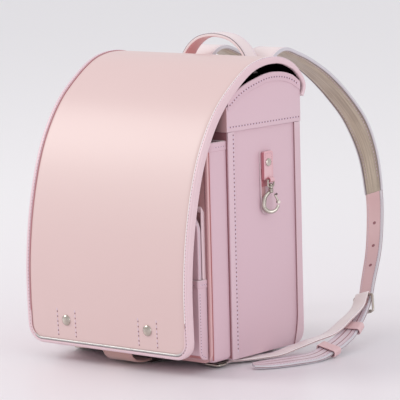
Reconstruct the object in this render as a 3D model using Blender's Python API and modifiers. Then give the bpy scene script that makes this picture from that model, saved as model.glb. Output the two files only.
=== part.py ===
# School ransel: a stiff leather school backpack standing on the floor, flap closed.
# +X is the bag's right side as seen from the front, -Y is the front, +Z is up.
# Sizes are millimetres until a mesh is written, in metres.

import math

import bmesh
import bpy
from mathutils import Matrix, Vector

MM = 0.001
GAP = 0.3

# Middle of the overall depth, straps included, which becomes y = 0
DEPTH_CENTRE = 42.8

# Cutters go this far past what they cut
PAST = 10.0

# Main compartment
BODY_WIDTH = 241.6
BODY_FRONT = -74.5
BODY_BACK = 61.5
BODY_BOTTOM = 8.0
WALL = 2.0
BODY_DROP = 3.0
REAR_CORNER = 18.0
FRONT_CORNER = 4.0
SIDE_TOP = 300.0
ARCH_RISE = 37.0

# Strips and caps laid on the sides
TRIM = 1.6
CAP_THICKNESS = 2.0
CAP_BOTTOM = 275.0
CAP_RETURN = 18.0
HEM_WIDTH = 12.0
BINDING_WIDTH = 11.0

# Small compartment and the board in front of it
SMALL_WIDTH = BODY_WIDTH - 4.6
SMALL_DEPTH = 31.4
SMALL_TOP = 265.0
BOARD_WIDTH = BODY_WIDTH - 2.6
BOARD_THICKNESS = 3.7
BOARD_TOP = 262.0
BOARD_CORNER = 12.0

# Front pocket
POCKET_WIDTH = BODY_WIDTH - 10.6
POCKET_DEPTH = 16.0
POCKET_BOTTOM = 15.0
POCKET_TOP = 107.0
POCKET_CORNER = 12.0
GUSSET_WIDTH = POCKET_WIDTH - 2.0
GUSSET_DEPTH = 5.6
GUSSET_RISE = 8.0
GUSSET_TOP = 194.0
LID_WIDTH = POCKET_WIDTH - 3.0
LID_THICKNESS = 3.0
LID_TOP = 190.0
LID_CORNER = 26.0
PIPING_RADIUS = 1.8

# Flap
FLAP_WIDTH = BODY_WIDTH + 9.8
FLAP_BACK = 71.6
FLAP_DEPTH = 229.0
FLAP_BOTTOM = 19.0
FLAP_RISE = 335.9
FLAP_THICKNESS = 3.0
HEM_FACE = 6.0
HEM_DEPTH_BACK = 4.5
HEM_DEPTH = 6.5
HEM_DEPTH_FRONT = 9.5
FLAP_CORNER = 22.0
LINE_RADIUS = 0.9
LINE_RISE = 19.2
RIVET_SPREAD = 126.0
RIVET_HEIGHT = 50.4
RIVET_RADIUS = 6.5
RIVET_RISE = 3.0

# Flap's outer face, from its back end to its lower edge, as shares of its depth and rise
FLAP_PROFILE = (
    # depth, height
    (0.020, 0.850),
    (0.001, 0.877),
    (0.006, 0.904),
    (0.045, 0.940),
    (0.105, 0.972),
    (0.190, 0.994),
    (0.283, 1.000),
    (0.375, 0.994),
    (0.464, 0.975),
    (0.570, 0.932),
    (0.695, 0.864),
    (0.790, 0.785),
    (0.870, 0.686),
    (0.930, 0.567),
    (0.974, 0.430),
    (0.998, 0.285),
    (1.000, 0.160),
    (0.991, 0.000),
)

# Arch of the side's top edge, from back to front, as shares of the depth and of ARCH_RISE
SIDE_ARCH = (
    # depth, height
    (0.00, 0.43),
    (0.10, 0.80),
    (0.22, 0.94),
    (0.35, 1.00),
    (0.47, 0.98),
    (0.60, 0.88),
    (0.74, 0.74),
    (0.87, 0.52),
    (1.00, 0.08),
)

# Back
BACK_WIDTH = BODY_WIDTH - 5.6
BACK_THICKNESS = 3.0
BACK_TOP = 303.0
BACK_CORNER = 14.0
PAD_WIDTH = 168.0
PAD_BOTTOM = 34.0
PAD_TOP = 284.0
PAD_THICKNESS = 8.0
PAD_CORNER = 30.0
HANGER_WIDTH = 128.0
HANGER_BOTTOM = 290.0
HANGER_TOP = 318.0
HANGER_THICKNESS = 2.5
LUG_WIDTH = 30.0
LUG_DEPTH = 9.0
LUG_HEIGHT = 8.0

# Handle
HANDLE_WIDTH = 22.0
HANDLE_THICKNESS = 4.5
HANDLE_SPAN = 118.0
HANDLE_FOOT = 328.0
HANDLE_RISE = 46.7

# Handle's middle line from its top to one foot, as shares of half the span and of the rise
HANDLE_LINE = (
    # out, down
    (0.00, 0.00),
    (0.22, 0.03),
    (0.42, 0.10),
    (0.60, 0.24),
    (0.74, 0.42),
    (0.84, 0.62),
    (0.93, 0.82),
    (1.00, 1.00),
)

# Shoulder straps
STRAP_WIDTH = 42.0
COVER_THICKNESS = 2.0
LINING_THICKNESS = 5.0
LINING_GAP = 0.7
LOWER_START_WIDTH = 24.0
LOWER_WIDTH = 20.5
LOWER_THICKNESS = 3.4
BELT_WIDTH = 19.0
BELT_THICKNESS = 2.4
HOLE_RADIUS = 2.0
HOLE_PITCH = 32.0
SLOT_HALF = 6.2
KEEPER_WALL = 1.8
KEEPER_LENGTH = 14.0
KEEPER_PLAY = 1.3
BUCKLE_WIRE = 1.5
BUCKLE_LENGTH = 24.0
BUCKLE_TILT = 30.0
BUCKLE_PLAY = 1.6
PRONG_RADIUS = 1.0

# Middle line of the right strap from its root to its tail, a route chosen by hand.
# turn and tilt swing its width away from +X, towards the front and downwards, in degrees
STRAP_ROUTE = (
    # x, y, z, turn, tilt
    (47, 80, 318.4, 0, 0),
    (47, 83, 341, 0, 0),
    (47, 95, 351, 0, 0),
    (47, 112, 353, 0, 0),
    (47, 131, 347, 0, 0),
    (49, 157, 336, 0, 0),
    (53, 190, 316, 0, 0),
    (61, 219, 288, 0, 0),
    (74, 239, 254, 0, 0),
    (91, 241, 214, 0, 0),
    (109, 228, 168, 0, 0),
    (122, 211, 134, 2, 0),
    (137, 186, 103, 5, 0),
    (151, 156, 74, 10, -2),
    (164, 127, 47.5, 15, -1),
    (171, 93, 25, 22, 14),
    (177, 63, 15.5, 22, 19),
    (180, 34, 9.6, 18, 17),
    (180, 6, 5.2, 14, 15),
    (172, -25, 4.9, 15, 13),
    (161, -50, 4.6, 20, 12),
    (149, -70, 4.4, 26, 10),
)
BUCKLE_ROW = 14
KEEPER_ROWS = (15, 17)
FIRST_HOLE_ROW = 11
SPAN_STEPS = 5
TAIL_TAPER = (0.96, 0.84, 0.55)

# Pad's width and thickness from root to end, as shares of STRAP_WIDTH and LINING_THICKNESS
PAD_TAPER = (
    # width, thickness
    (0.86, 0.60),
    (0.95, 0.80),
    (1.00, 1.00),
    (1.00, 1.00),
    (1.00, 1.00),
    (0.99, 1.00),
    (0.97, 1.00),
    (0.92, 0.95),
    (0.82, 0.80),
    (0.68, 0.55),
    (0.59, 0.30),
)

# Middle line of the right lower belt, from its anchor under the bottom almost to the buckle,
# round whose upper bar it then wraps
BELT_ROUTE = (
    # x, y, z
    (102, -72, 4.2),
    (103, -60, 4.3),
    (112, -47, 4.5),
    (123, -30, 4.8),
    (135, -9, 6.3),
    (143, 12, 11.0),
    (151, 35, 16.0),
    (159, 65, 21.5),
    (164, 89, 34.0),
    (162, 116, 44.5),
)
BELT_WRAP = (0, 30, 60, 90)

# Underside
LATCH_WIDTH = 44.0
LATCH_THICKNESS = 2.4
LOCK_WIDTH = 70.0
LOCK_DEPTH = 44.0
LOCK_FRONT = -102.0
ANCHOR_WIDTH = 25.0
ANCHOR_DEPTH = 18.0
STUD_RADIUS = 6.0
STUD_SPREAD = 170.0
STUD_BACK = 38.0

# Hook on the right side
HOOK_Y = -6.3
HOOK_STANDOFF = 9.2
HOOK_AXIS_X = BODY_WIDTH / 2 + HOOK_STANDOFF
HOOK_TURN = 60.0
GUARD_WIDTH = 17.0
GUARD_THICKNESS = 2.0
GUARD_BOTTOM = 173.0
TAB_TOP = 246.5
TAB_THICKNESS = 4.0
TAB_FOLD = 213.0
FOLD_RADIUS = 3.2
HOOK_RIVET_RADIUS = 3.8
HOOK_RIVET_RISE = 1.6
HOOK_RIVET_HEIGHT = 233.5
RING_WIRE = 1.1
RING_HALF = 5.5
COLLAR_BOTTOM = 203.0
COLLAR_HEIGHT = 3.6
COLLAR_RADIUS = 2.9
STEM_RADIUS = 1.4
HOOK_WIRE = 1.6
HOOK_RADIUS = 10.0
HOOK_CENTRE = 184.0
SHOULDER_BOTTOM = 197.5
GATE_PIVOT = 186.0
GATE_WIRE = 1.2
GATE_THICKNESS = 2.4
EAR_THICKNESS = 0.9
EAR_HALF = 1.9
BARREL_RADIUS = 1.7
PIN_RADIUS = 0.6
END_HEIGHT = 3.5
SHOULDER_RADIUS = 3.0
STEM_HEAD_RADIUS = 2.4
STEM_HEAD_HEIGHT = 1.8
GATE_TIP_OUT = 4.4
GATE_TIP_DROP = 2.6
KNOB_RADIUS = 1.3
KNOB_LENGTH = 3.4

COLOURS = {
    "pink leather": ((0.80, 0.55, 0.57), 0.42, 0.0),
    "side leather": ((0.66, 0.47, 0.52), 0.48, 0.0),
    "trim leather": ((0.78, 0.53, 0.57), 0.45, 0.0),
    "inner leather": ((0.55, 0.22, 0.25), 0.60, 0.0),
    "beige lining": ((0.70, 0.63, 0.56), 0.70, 0.0),
    "silver piping": ((0.62, 0.63, 0.64), 0.35, 0.6),
    "nickel": ((0.66, 0.62, 0.58), 0.25, 1.0),
}


def clear_scene():
    for obj in list(bpy.data.objects):
        bpy.data.objects.remove(obj, do_unlink=True)


def collection(name, hidden=False):
    made = bpy.data.collections.new(name)
    made.hide_render = hidden
    bpy.context.scene.collection.children.link(made)
    return made


def material(name):
    found = bpy.data.materials.get(name)
    if found:
        return found
    colour, roughness, metallic = COLOURS[name]
    made = bpy.data.materials.new(name)
    made.use_nodes = True
    shader = made.node_tree.nodes["Principled BSDF"]
    shader.inputs["Base Color"].default_value = (*colour, 1.0)
    shader.inputs["Roughness"].default_value = roughness
    shader.inputs["Metallic"].default_value = metallic
    made.diffuse_color = (*colour, 1.0)
    return made


def object_from(name, bm, finish):
    """A named object from a bmesh in millimetres."""
    bmesh.ops.recalc_face_normals(bm, faces=bm.faces)
    if bm.calc_volume(signed=True) < 0:
        bmesh.ops.reverse_faces(bm, faces=bm.faces)
    bm.transform(Matrix.Scale(MM, 4))
    mesh = bpy.data.meshes.new(name)
    bm.to_mesh(mesh)
    bm.free()
    mesh.materials.append(material(finish))
    obj = bpy.data.objects.new(name, mesh)
    PARTS.objects.link(obj)
    return obj


def prism(name, outline, axis, low, high, finish="pink leather"):
    """An outline drawn in the plane across the axis, extruded from low to high along it."""
    place = {
        "X": lambda a, b: (low, a, b),
        "Y": lambda a, b: (a, low, b),
        "Z": lambda a, b: (a, b, low),
    }[axis]
    bm = bmesh.new()
    face = bm.faces.new([bm.verts.new(place(a, b)) for a, b in outline])
    made = bmesh.ops.extrude_face_region(bm, geom=[face])["geom"]
    moved = [item for item in made if isinstance(item, bmesh.types.BMVert)]
    step = Vector([(high - low) * (axis == letter) for letter in "XYZ"])
    bmesh.ops.translate(bm, verts=moved, vec=step)
    return object_from(name, bm, finish)


def box(name, low, high, finish="pink leather"):
    bm = bmesh.new()
    size = Vector(high) - Vector(low)
    middle = (Vector(high) + Vector(low)) / 2
    place = Matrix.Translation(middle) @ Matrix.Diagonal((*size, 1.0))
    bmesh.ops.create_cube(bm, size=1.0, matrix=place)
    return object_from(name, bm, finish)


def cylinder(name, centre, axis, radius, length, finish="nickel", sides=24):
    """A cylinder about its centre, along X, Y or Z."""
    turn = {
        "X": Matrix.Rotation(math.radians(90), 4, "Y"),
        "Y": Matrix.Rotation(math.radians(90), 4, "X"),
        "Z": Matrix.Identity(4),
    }[axis]
    bm = bmesh.new()
    bmesh.ops.create_cone(
        bm,
        cap_ends=True,
        segments=sides,
        radius1=radius,
        radius2=radius,
        depth=length,
        matrix=Matrix.Translation(centre) @ turn,
    )
    return object_from(name, bm, finish)


def dome(name, base, outwards, radius, rise, finish="nickel"):
    """A domed rivet head that stands on its base and rises outwards."""
    bm = bmesh.new()
    bmesh.ops.create_uvsphere(bm, u_segments=20, v_segments=12, radius=1.0)
    whole = [*bm.verts, *bm.edges, *bm.faces]
    halved = bmesh.ops.bisect_plane(
        bm, geom=whole, plane_co=(0, 0, 0.02), plane_no=(0, 0, 1), clear_inner=True
    )
    rim = [item for item in halved["geom_cut"] if isinstance(item, bmesh.types.BMEdge)]
    bmesh.ops.holes_fill(bm, edges=rim)
    bmesh.ops.translate(bm, verts=bm.verts, vec=(0, 0, -0.02))
    turn = Vector((0, 0, 1)).rotation_difference(Vector(outwards)).to_matrix().to_4x4()
    bm.transform(Matrix.Translation(base) @ turn @ Matrix.Diagonal((radius, radius, rise, 1.0)))
    return object_from(name, bm, finish)


def loft(name, rings, finish, closed=False):
    """A body through rings that hold the same number of points."""
    bm = bmesh.new()
    loops = [[bm.verts.new(point) for point in ring] for ring in rings]
    count = len(loops[0])
    pairs = list(zip(loops, loops[1:]))
    if closed:
        pairs.append((loops[-1], loops[0]))
    for near, far in pairs:
        for i in range(count):
            j = (i + 1) % count
            bm.faces.new((near[i], near[j], far[j], far[i]))
    if not closed:
        bm.faces.new(reversed(loops[0]))
        bm.faces.new(loops[-1])
    bmesh.ops.triangulate(bm, faces=bm.faces, quad_method="SHORT_EDGE")
    return object_from(name, bm, finish)


def tube(name, path, normal, radius, finish, closed=False, sides=10):
    """A round wire along a path that lies in a plane with this normal."""
    path = [Vector(point) for point in path]
    last = len(path) - 1
    rings = []
    for i, point in enumerate(path):
        before = path[i - 1] if closed or i else path[0]
        after = path[(i + 1) % len(path)] if closed or i < last else path[last]
        along = (after - before).normalized()
        side = along.cross(normal).normalized()
        up = side.cross(along)
        angles = [2 * math.pi * k / sides for k in range(sides)]
        rings.append([point + radius * (math.cos(a) * side + math.sin(a) * up) for a in angles])
    return loft(name, rings, finish, closed)


def smooth(rows, steps):
    """Catmull-Rom rows through these rows, each span in this many steps."""
    rows = [Vector(row) for row in rows]
    ends = [2 * rows[0] - rows[1], *rows, 2 * rows[-1] - rows[-2]]
    found = []
    for a, b, c, d in zip(ends, ends[1:], ends[2:], ends[3:]):
        for k in range(steps):
            t = k / steps
            square = (2 * a - 5 * b + 4 * c - d) * t**2
            cube = (3 * b - a - 3 * c + d) * t**3
            found.append((2 * b + (c - a) * t + square + cube) / 2)
    return [*found, rows[-1]]


def arc(centre, radius, start, end, steps=6):
    """Points of an arc, angles in degrees."""
    angles = [math.radians(start + (end - start) * k / steps) for k in range(steps + 1)]
    return [(centre[0] + radius * math.cos(a), centre[1] + radius * math.sin(a)) for a in angles]


def rounded(left, bottom, right, top, lower=0.0, upper=0.0, steps=6):
    """A rectangle with rounded lower and upper corners."""
    corners = (
        (left + lower, bottom + lower, lower, 180),
        (right - lower, bottom + lower, lower, 270),
        (right - upper, top - upper, upper, 0),
        (left + upper, top - upper, upper, 90),
    )
    outline = []
    for x, y, radius, start in corners:
        outline += arc((x, y), radius, start, start + 90, steps) if radius else [(x, y)]
    return outline


def combine(target, other, operation):
    """Cut, join or intersect the target with the other, which is used up."""
    modifier = target.modifiers.new(operation.title(), "BOOLEAN")
    modifier.operation = operation
    modifier.solver = "EXACT"
    modifier.object = other
    for holder in list(other.users_collection):
        holder.objects.unlink(other)
    CUTTERS.objects.link(other)
    other.hide_render = True
    other.display_type = "WIRE"
    return target


def cut(target, *others):
    for other in others:
        combine(target, other, "DIFFERENCE")
    return target


def join(target, *others):
    for other in others:
        combine(target, other, "UNION")
    return target


def soften(obj, width, segments=2, angle=40):
    modifier = obj.modifiers.new("Bevel", "BEVEL")
    modifier.width = width * MM
    modifier.segments = segments
    modifier.limit_method = "ANGLE"
    modifier.angle_limit = math.radians(angle)
    return obj


def mirrored(obj, name):
    """The same piece on the other side of the bag."""
    bpy.context.view_layer.update()
    evaluated = obj.evaluated_get(bpy.context.evaluated_depsgraph_get())
    mesh = bpy.data.meshes.new_from_object(evaluated)
    mesh.name = name
    mesh.transform(Matrix.Scale(-1, 4, (1, 0, 0)) @ obj.matrix_world)
    mesh.flip_normals()
    twin = bpy.data.objects.new(name, mesh)
    PARTS.objects.link(twin)
    return twin


def side_arch(drop=0.0, front=BODY_FRONT, back=BODY_BACK):
    """Top edge of a side, from back to front."""
    rows = smooth(SIDE_ARCH, 3)
    return [(back - d * (back - front), SIDE_TOP + h * ARCH_RISE - drop) for d, h in rows]


def build_main_body():
    half = BODY_WIDTH / 2

    def outline(inset, top):
        front, back, bottom = BODY_FRONT + inset, BODY_BACK - inset, BODY_BOTTOM + inset
        near, far = FRONT_CORNER - inset, REAR_CORNER - inset
        lower = arc((front + near, bottom + near), near, 180, 270)
        lower += arc((back - far, bottom + far), far, 270, 360)
        return lower + top(front, back)

    body = prism("main_body", outline(0, lambda f, b: side_arch(BODY_DROP)), "X", -half, half, "side leather")
    over = SIDE_TOP + ARCH_RISE + PAST
    shape = outline(WALL, lambda f, b: [(b, over), (f, over)])
    room = prism("main_room", shape, "X", WALL - half, half - WALL, "inner leather")
    return cut(body, room)


def build_sides():
    inner = BODY_WIDTH / 2 + GAP
    outer = inner + CAP_THICKNESS
    lip = CAP_THICKNESS + GAP
    front = BODY_FRONT - lip
    back = BODY_BACK + 1.0
    outline = [(front, CAP_BOTTOM), (back, CAP_BOTTOM), *side_arch(0, front, back)]
    cap = prism("side_cap_right", outline, "X", outer - CAP_RETURN, outer, "side leather")
    low = (0, BODY_FRONT - GAP, CAP_BOTTOM - PAST)
    room = box("cap_room", low, (inner, back + PAST, SIDE_TOP + ARCH_RISE + PAST))
    cut(cap, room)
    mirrored(cap, "side_cap_left")

    hem_top = CAP_BOTTOM - GAP
    strip = [(BODY_FRONT, BODY_BOTTOM + 1), (BODY_FRONT + HEM_WIDTH, BODY_BOTTOM + 1)]
    strip += [(BODY_FRONT + HEM_WIDTH, hem_top), (BODY_FRONT, hem_top)]
    hem = prism("side_hem_right", strip, "X", inner, inner + TRIM, "trim leather")
    mirrored(hem, "side_hem_left")

    centre = (BODY_BACK - REAR_CORNER, BODY_BOTTOM + REAR_CORNER)
    edge = arc(centre, REAR_CORNER, 270, 360) + [(BODY_BACK, hem_top)]
    edge += [(BODY_BACK - BINDING_WIDTH, hem_top)] + arc(centre, REAR_CORNER - BINDING_WIDTH, 360, 270)
    binding = prism("side_binding_right", edge, "X", inner, inner + TRIM, "trim leather")
    mirrored(binding, "side_binding_left")


def build_front():
    half = SMALL_WIDTH / 2
    back = BODY_FRONT - GAP
    front = back - SMALL_DEPTH
    bottom = BODY_BOTTOM + 1
    small = prism(
        "small_compartment",
        rounded(-half, front, half, back, 5.0),
        "Z",
        bottom,
        SMALL_TOP,
        "side leather",
    )
    room = prism(
        "small_room",
        rounded(WALL - half, front + WALL, half - WALL, back + WALL, 3.0),
        "Z",
        bottom + WALL,
        SMALL_TOP + PAST,
    )
    cut(small, room)

    board_back = front - GAP
    board_front = board_back - BOARD_THICKNESS
    half = BOARD_WIDTH / 2
    prism(
        "front_panel",
        rounded(-half, bottom + 0.5, half, BOARD_TOP, BOARD_CORNER, 4.0),
        "Y",
        board_front,
        board_back,
        "trim leather",
    )
    build_pocket(board_front - GAP)


def build_pocket(back):
    front = back - POCKET_DEPTH
    half = POCKET_WIDTH / 2

    def outline(inset, top):
        radius = POCKET_CORNER - inset
        low = POCKET_BOTTOM + inset
        corner = arc((front + inset + radius, low + radius), radius, 180, 270)
        return corner + [(back - inset, low), (back - inset, top), (front + inset, top)]

    pocket = prism("front_pocket", outline(0, POCKET_TOP), "X", -half, half, "side leather")
    shape = outline(WALL, POCKET_TOP + PAST)
    room = prism("pocket_room", shape, "X", WALL - half, half - WALL)
    cut(pocket, room)

    half = GUSSET_WIDTH / 2
    low = POCKET_TOP + GAP
    near = back - GUSSET_DEPTH
    slope = [(back, low), (back, GUSSET_TOP - GUSSET_RISE), (near, GUSSET_TOP), (near, low)]
    gusset = prism("pocket_gusset", slope, "X", -half, half, "pink leather")
    under = GUSSET_TOP - WALL * 2
    inside = [(back + 5, low - 5), (back + 5, under - GUSSET_RISE)]
    inside += [(near - 5, under), (near - 5, low - 5)]
    cut(gusset, prism("gusset_room", inside, "X", WALL - half, half - WALL))

    ring = near - GAP - PIPING_RADIUS
    half = LID_WIDTH / 2 - PIPING_RADIUS
    radius = LID_CORNER - PIPING_RADIUS
    low += PIPING_RADIUS
    top = LID_TOP - PIPING_RADIUS
    line = [(half, low)] + arc((half - radius, top - radius), radius, 0, 90, 8)
    line += arc((radius - half, top - radius), radius, 90, 180, 8) + [(-half, low)]
    path = [(x, ring, z) for x, z in line]
    tube("pocket_piping", path, Vector((0, 1, 0)), PIPING_RADIUS, "trim leather", sides=8)

    lid_back = ring - PIPING_RADIUS - GAP
    half = LID_WIDTH / 2
    prism(
        "pocket_lid",
        rounded(-half, POCKET_TOP + GAP, half, LID_TOP, 0, LID_CORNER),
        "Y",
        lid_back - LID_THICKNESS,
        lid_back,
        "side leather",
    )


def flap_line():
    """Outer face of the flap from its back end to its lower edge, as (y, z, towards the inside)."""
    rows = [(FLAP_BACK - d * FLAP_DEPTH, FLAP_BOTTOM + h * FLAP_RISE) for d, h in FLAP_PROFILE]
    points = smooth(rows, 3)
    found = []
    for i, point in enumerate(points):
        along = (points[min(i + 1, len(points) - 1)] - points[max(i - 1, 0)]).normalized()
        found.append((point, Vector((-along.y, along.x))))
    return found


def flap_band(depth_at):
    """Outline of a sheet whose depth is given for each share of the way down the flap."""
    line = flap_line()
    last = len(line) - 1
    outer = [tuple(point) for point, _ in line]
    inner = [tuple(point + inwards * depth_at(i / last)) for i, (point, inwards) in enumerate(line)]
    return outer + inner[::-1]


def flap_face(height):
    """y of the flap's outer face at this height on its front."""
    front = [point for point, _ in flap_line() if point.y < FLAP_BOTTOM + 0.9 * FLAP_RISE and point.x < 0]
    for above, below in zip(front, front[1:]):
        if below.y <= height <= above.y:
            share = (height - below.y) / (above.y - below.y)
            return below.x + share * (above.x - below.x)
    return front[-1].x


def build_flap():
    half = FLAP_WIDTH / 2
    face = half - HEM_FACE
    face_bottom = FLAP_BOTTOM + HEM_FACE
    face_corner = FLAP_CORNER - HEM_FACE

    flap = prism("flap", flap_band(lambda share: FLAP_THICKNESS), "X", -half, half, "pink leather")
    over = FLAP_BOTTOM + FLAP_RISE + PAST
    near, far = FLAP_BACK - FLAP_DEPTH - PAST, FLAP_BACK + PAST
    inside = rounded(GAP - face, face_bottom + GAP, face - GAP, over, face_corner - GAP)
    combine(flap, prism("flap_outline", inside, "Y", near, far), "INTERSECT")

    def hem_depth(share):
        if share < 0.1:
            return HEM_DEPTH_BACK + (HEM_DEPTH - HEM_DEPTH_BACK) * share / 0.1
        return HEM_DEPTH + (HEM_DEPTH_FRONT - HEM_DEPTH) * min(1.0, 1.6 * share)

    band = flap_band(hem_depth)
    hem = prism("flap_hem", band, "X", -half, half, "trim leather")
    outside = rounded(-half - 1, FLAP_BOTTOM, half + 1, over, FLAP_CORNER)
    combine(hem, prism("hem_outline", outside, "Y", near, far), "INTERSECT")
    window = rounded(-face, face_bottom, face, over + PAST, face_corner)
    cut(hem, prism("hem_window", window, "Y", near - PAST, far + PAST))

    corner_top = face_bottom + face_corner
    top = corner_top + LINE_RISE
    line = [(face, top), (face, corner_top)]
    line += arc((face - face_corner, corner_top), face_corner, 0, -90, 8)[1:]
    line += arc((face_corner - face, corner_top), face_corner, -90, -180, 8)
    line += [(-face, top)]
    path = [(x, flap_face(z) - LINE_RADIUS - GAP, z) for x, z in line]
    tube("reflective_piping", path, Vector((0, 1, 0)), LINE_RADIUS, "silver piping", sides=8)

    for side, name in ((1, "flap_rivet_right"), (-1, "flap_rivet_left")):
        base = (side * RIVET_SPREAD / 2, flap_face(RIVET_HEIGHT) - GAP, RIVET_HEIGHT)
        dome(name, base, (0, -1, 0), RIVET_RADIUS, RIVET_RISE)


def build_back():
    front = BODY_BACK + GAP
    back = front + BACK_THICKNESS
    half = BACK_WIDTH / 2
    outline = rounded(-half, BODY_BOTTOM + 3, half, BACK_TOP, BACK_CORNER)
    prism("back_panel", outline, "Y", front, back, "pink leather")

    half = PAD_WIDTH / 2
    pad = prism(
        "back_pad",
        rounded(-half, PAD_BOTTOM, half, PAD_TOP, PAD_CORNER, PAD_CORNER),
        "Y",
        back + GAP,
        back + GAP + PAD_THICKNESS,
        "beige lining",
    )
    soften(pad, 3.0, 2, 60)

    half = HANGER_WIDTH / 2
    plate_back = FLAP_BACK + GAP + HANGER_THICKNESS
    low, high = (-half, back + GAP, HANGER_BOTTOM), (half, plate_back, BACK_TOP)
    hanger = box("strap_hanger", low, high, "nickel")
    low, high = (-half, FLAP_BACK + GAP, BACK_TOP - 5), (half, plate_back, HANGER_TOP)
    rise = box("hanger_rise", low, high)
    join(hanger, rise)
    middle = STRAP_ROUTE[0][0]
    for side in (1, -1):
        low = (side * middle - LUG_WIDTH / 2, plate_back - 1, HANGER_TOP - LUG_HEIGHT)
        high = (side * middle + LUG_WIDTH / 2, plate_back + LUG_DEPTH, HANGER_TOP)
        join(hanger, box("hanger_lug", low, high))


def build_handle():
    half = HANDLE_SPAN / 2
    top = HANDLE_FOOT + HANDLE_RISE
    line = [Vector((out * half, top - down * HANDLE_RISE)) for out, down in smooth(HANDLE_LINE, 2)]
    line = [Vector((-point.x, point.y)) for point in line[:0:-1]] + line
    back = FLAP_BACK + GAP + HANGER_THICKNESS
    rings = []
    for i, point in enumerate(line):
        along = (line[min(i + 1, len(line) - 1)] - line[max(i - 1, 0)]).normalized()
        out = Vector((-along.y, along.x)) * HANDLE_THICKNESS / 2
        low, high = point - out, point + out
        front = back - HANDLE_WIDTH
        ring = [(low.x, front, low.y), (low.x, back, low.y)]
        ring += [(high.x, back, high.y), (high.x, front, high.y)]
        rings.append(ring)
    handle = loft("handle", rings, "pink leather")
    reach = back - HANDLE_WIDTH - 2 * PAST
    under = [tuple(point - inwards * GAP) for point, inwards in flap_line() if point.x > reach]
    low = HANDLE_FOOT - 3 * PAST
    under += [(under[-1][0], low), (under[0][0], low)]
    cut(handle, prism("under_handle", under, "X", -half - PAST, half + PAST))


def strap_sections():
    """Places along the right strap: middle, along, across and towards the bag."""
    rows = smooth(STRAP_ROUTE, SPAN_STEPS)
    found = []
    for i, row in enumerate(rows):
        middle = Vector(row[:3])
        along = Vector(rows[min(i + 1, len(rows) - 1)][:3]) - Vector(rows[max(i - 1, 0)][:3])
        along.normalize()
        turn, tilt = math.radians(row[3]), math.radians(row[4])
        level = math.cos(tilt)
        across = Vector((math.cos(turn) * level, -math.sin(turn) * level, -math.sin(tilt)))
        across = (across - across.dot(along) * along).normalized()
        found.append((middle, along, across, along.cross(across)))
    return found


def ribbon(name, places, widths, lows, highs, finish):
    """A strap through places, from low to high across its thickness."""
    rings = []
    for (middle, _, across, inwards), width, low, high in zip(places, widths, lows, highs):
        side = across * width / 2
        rings.append([
            middle - side + inwards * low,
            middle + side + inwards * low,
            middle + side + inwards * high,
            middle - side + inwards * high,
        ])
    return loft(name, rings, finish)


def belt_of(name, places, width, thickness):
    """A strap of one width and one thickness."""
    count = len(places)
    half = thickness / 2
    return ribbon(name, places, [width] * count, [-half] * count, [half] * count, "trim leather")


def placed(obj, place):
    """Put an object made about the origin at a place on the strap: X across, Y along, Z inwards."""
    middle, along, across, inwards = place
    turn = Matrix((across, along, across.cross(along))).transposed().to_4x4()
    obj.matrix_world = Matrix.Translation(middle * MM) @ turn
    return obj


def build_straps():
    places = strap_sections()
    pad_end = (len(PAD_TAPER) - 1) * SPAN_STEPS
    taper = smooth(PAD_TAPER, SPAN_STEPS)
    padded = places[: pad_end + 1]
    widths = [STRAP_WIDTH * width for width, _ in taper]
    depth = [LINING_THICKNESS * share for _, share in taper]
    total = [COVER_THICKNESS + LINING_GAP + lining for lining in depth]
    cover = ribbon(
        "strap_cover_right",
        padded,
        widths,
        [-t / 2 for t in total],
        [COVER_THICKNESS - t / 2 for t in total],
        "pink leather",
    )
    lining = ribbon(
        "strap_pad_right",
        padded,
        [width - 3.0 for width in widths],
        [t / 2 - d for t, d in zip(total, depth)],
        [t / 2 for t in total],
        "beige lining",
    )

    lower = places[pad_end:]
    first = lower[0]
    lower[0] = (first[0] + first[1] * GAP, *first[1:])
    count = len(lower)
    narrowing = BUCKLE_ROW * SPAN_STEPS - pad_end
    excess = LOWER_START_WIDTH - LOWER_WIDTH
    shape = [LOWER_WIDTH + excess * max(0.0, 1 - i / narrowing) for i in range(count)]
    for i, share in enumerate(TAIL_TAPER):
        shape[i - len(TAIL_TAPER)] = LOWER_WIDTH * share
    half = LOWER_THICKNESS / 2
    strap = ribbon("strap_lower_right", lower, shape, [-half] * count, [half] * count, "trim leather")

    buckle_place = places[BUCKLE_ROW * SPAN_STEPS]
    slot = box("prong_slot", (-HOLE_RADIUS, -SLOT_HALF, -6), (HOLE_RADIUS, SLOT_HALF, 6))
    placed(slot, buckle_place)
    cut(strap, slot)
    cut_holes(strap, places)

    buckle_place = tilted_place(buckle_place)
    buckle = build_buckle(buckle_place)
    belt = build_belt(buckle_place)
    keepers = [
        build_keeper(name, places[row * SPAN_STEPS])
        for name, row in zip(("keeper_upper_right", "keeper_lower_right"), KEEPER_ROWS)
    ]
    for obj in (cover, lining, strap, belt, buckle, *keepers):
        mirrored(obj, obj.name.replace("right", "left"))


def cut_holes(strap, places):
    """Holes at a steady pitch down the strap, short of the buckle."""
    travelled = 0.0
    due = 0.0
    start = FIRST_HOLE_ROW * SPAN_STEPS
    end = BUCKLE_ROW * SPAN_STEPS
    for here, ahead in zip(places[start:end], places[start + 1 :]):
        if travelled >= due:
            hole = cylinder("strap_hole", (0, 0, 0), "Z", HOLE_RADIUS, 10, sides=12)
            cut(strap, placed(hole, (here[0].lerp(ahead[0], 0.43), *here[1:])))
            due += HOLE_PITCH
        travelled += (ahead[0] - here[0]).length


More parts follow.
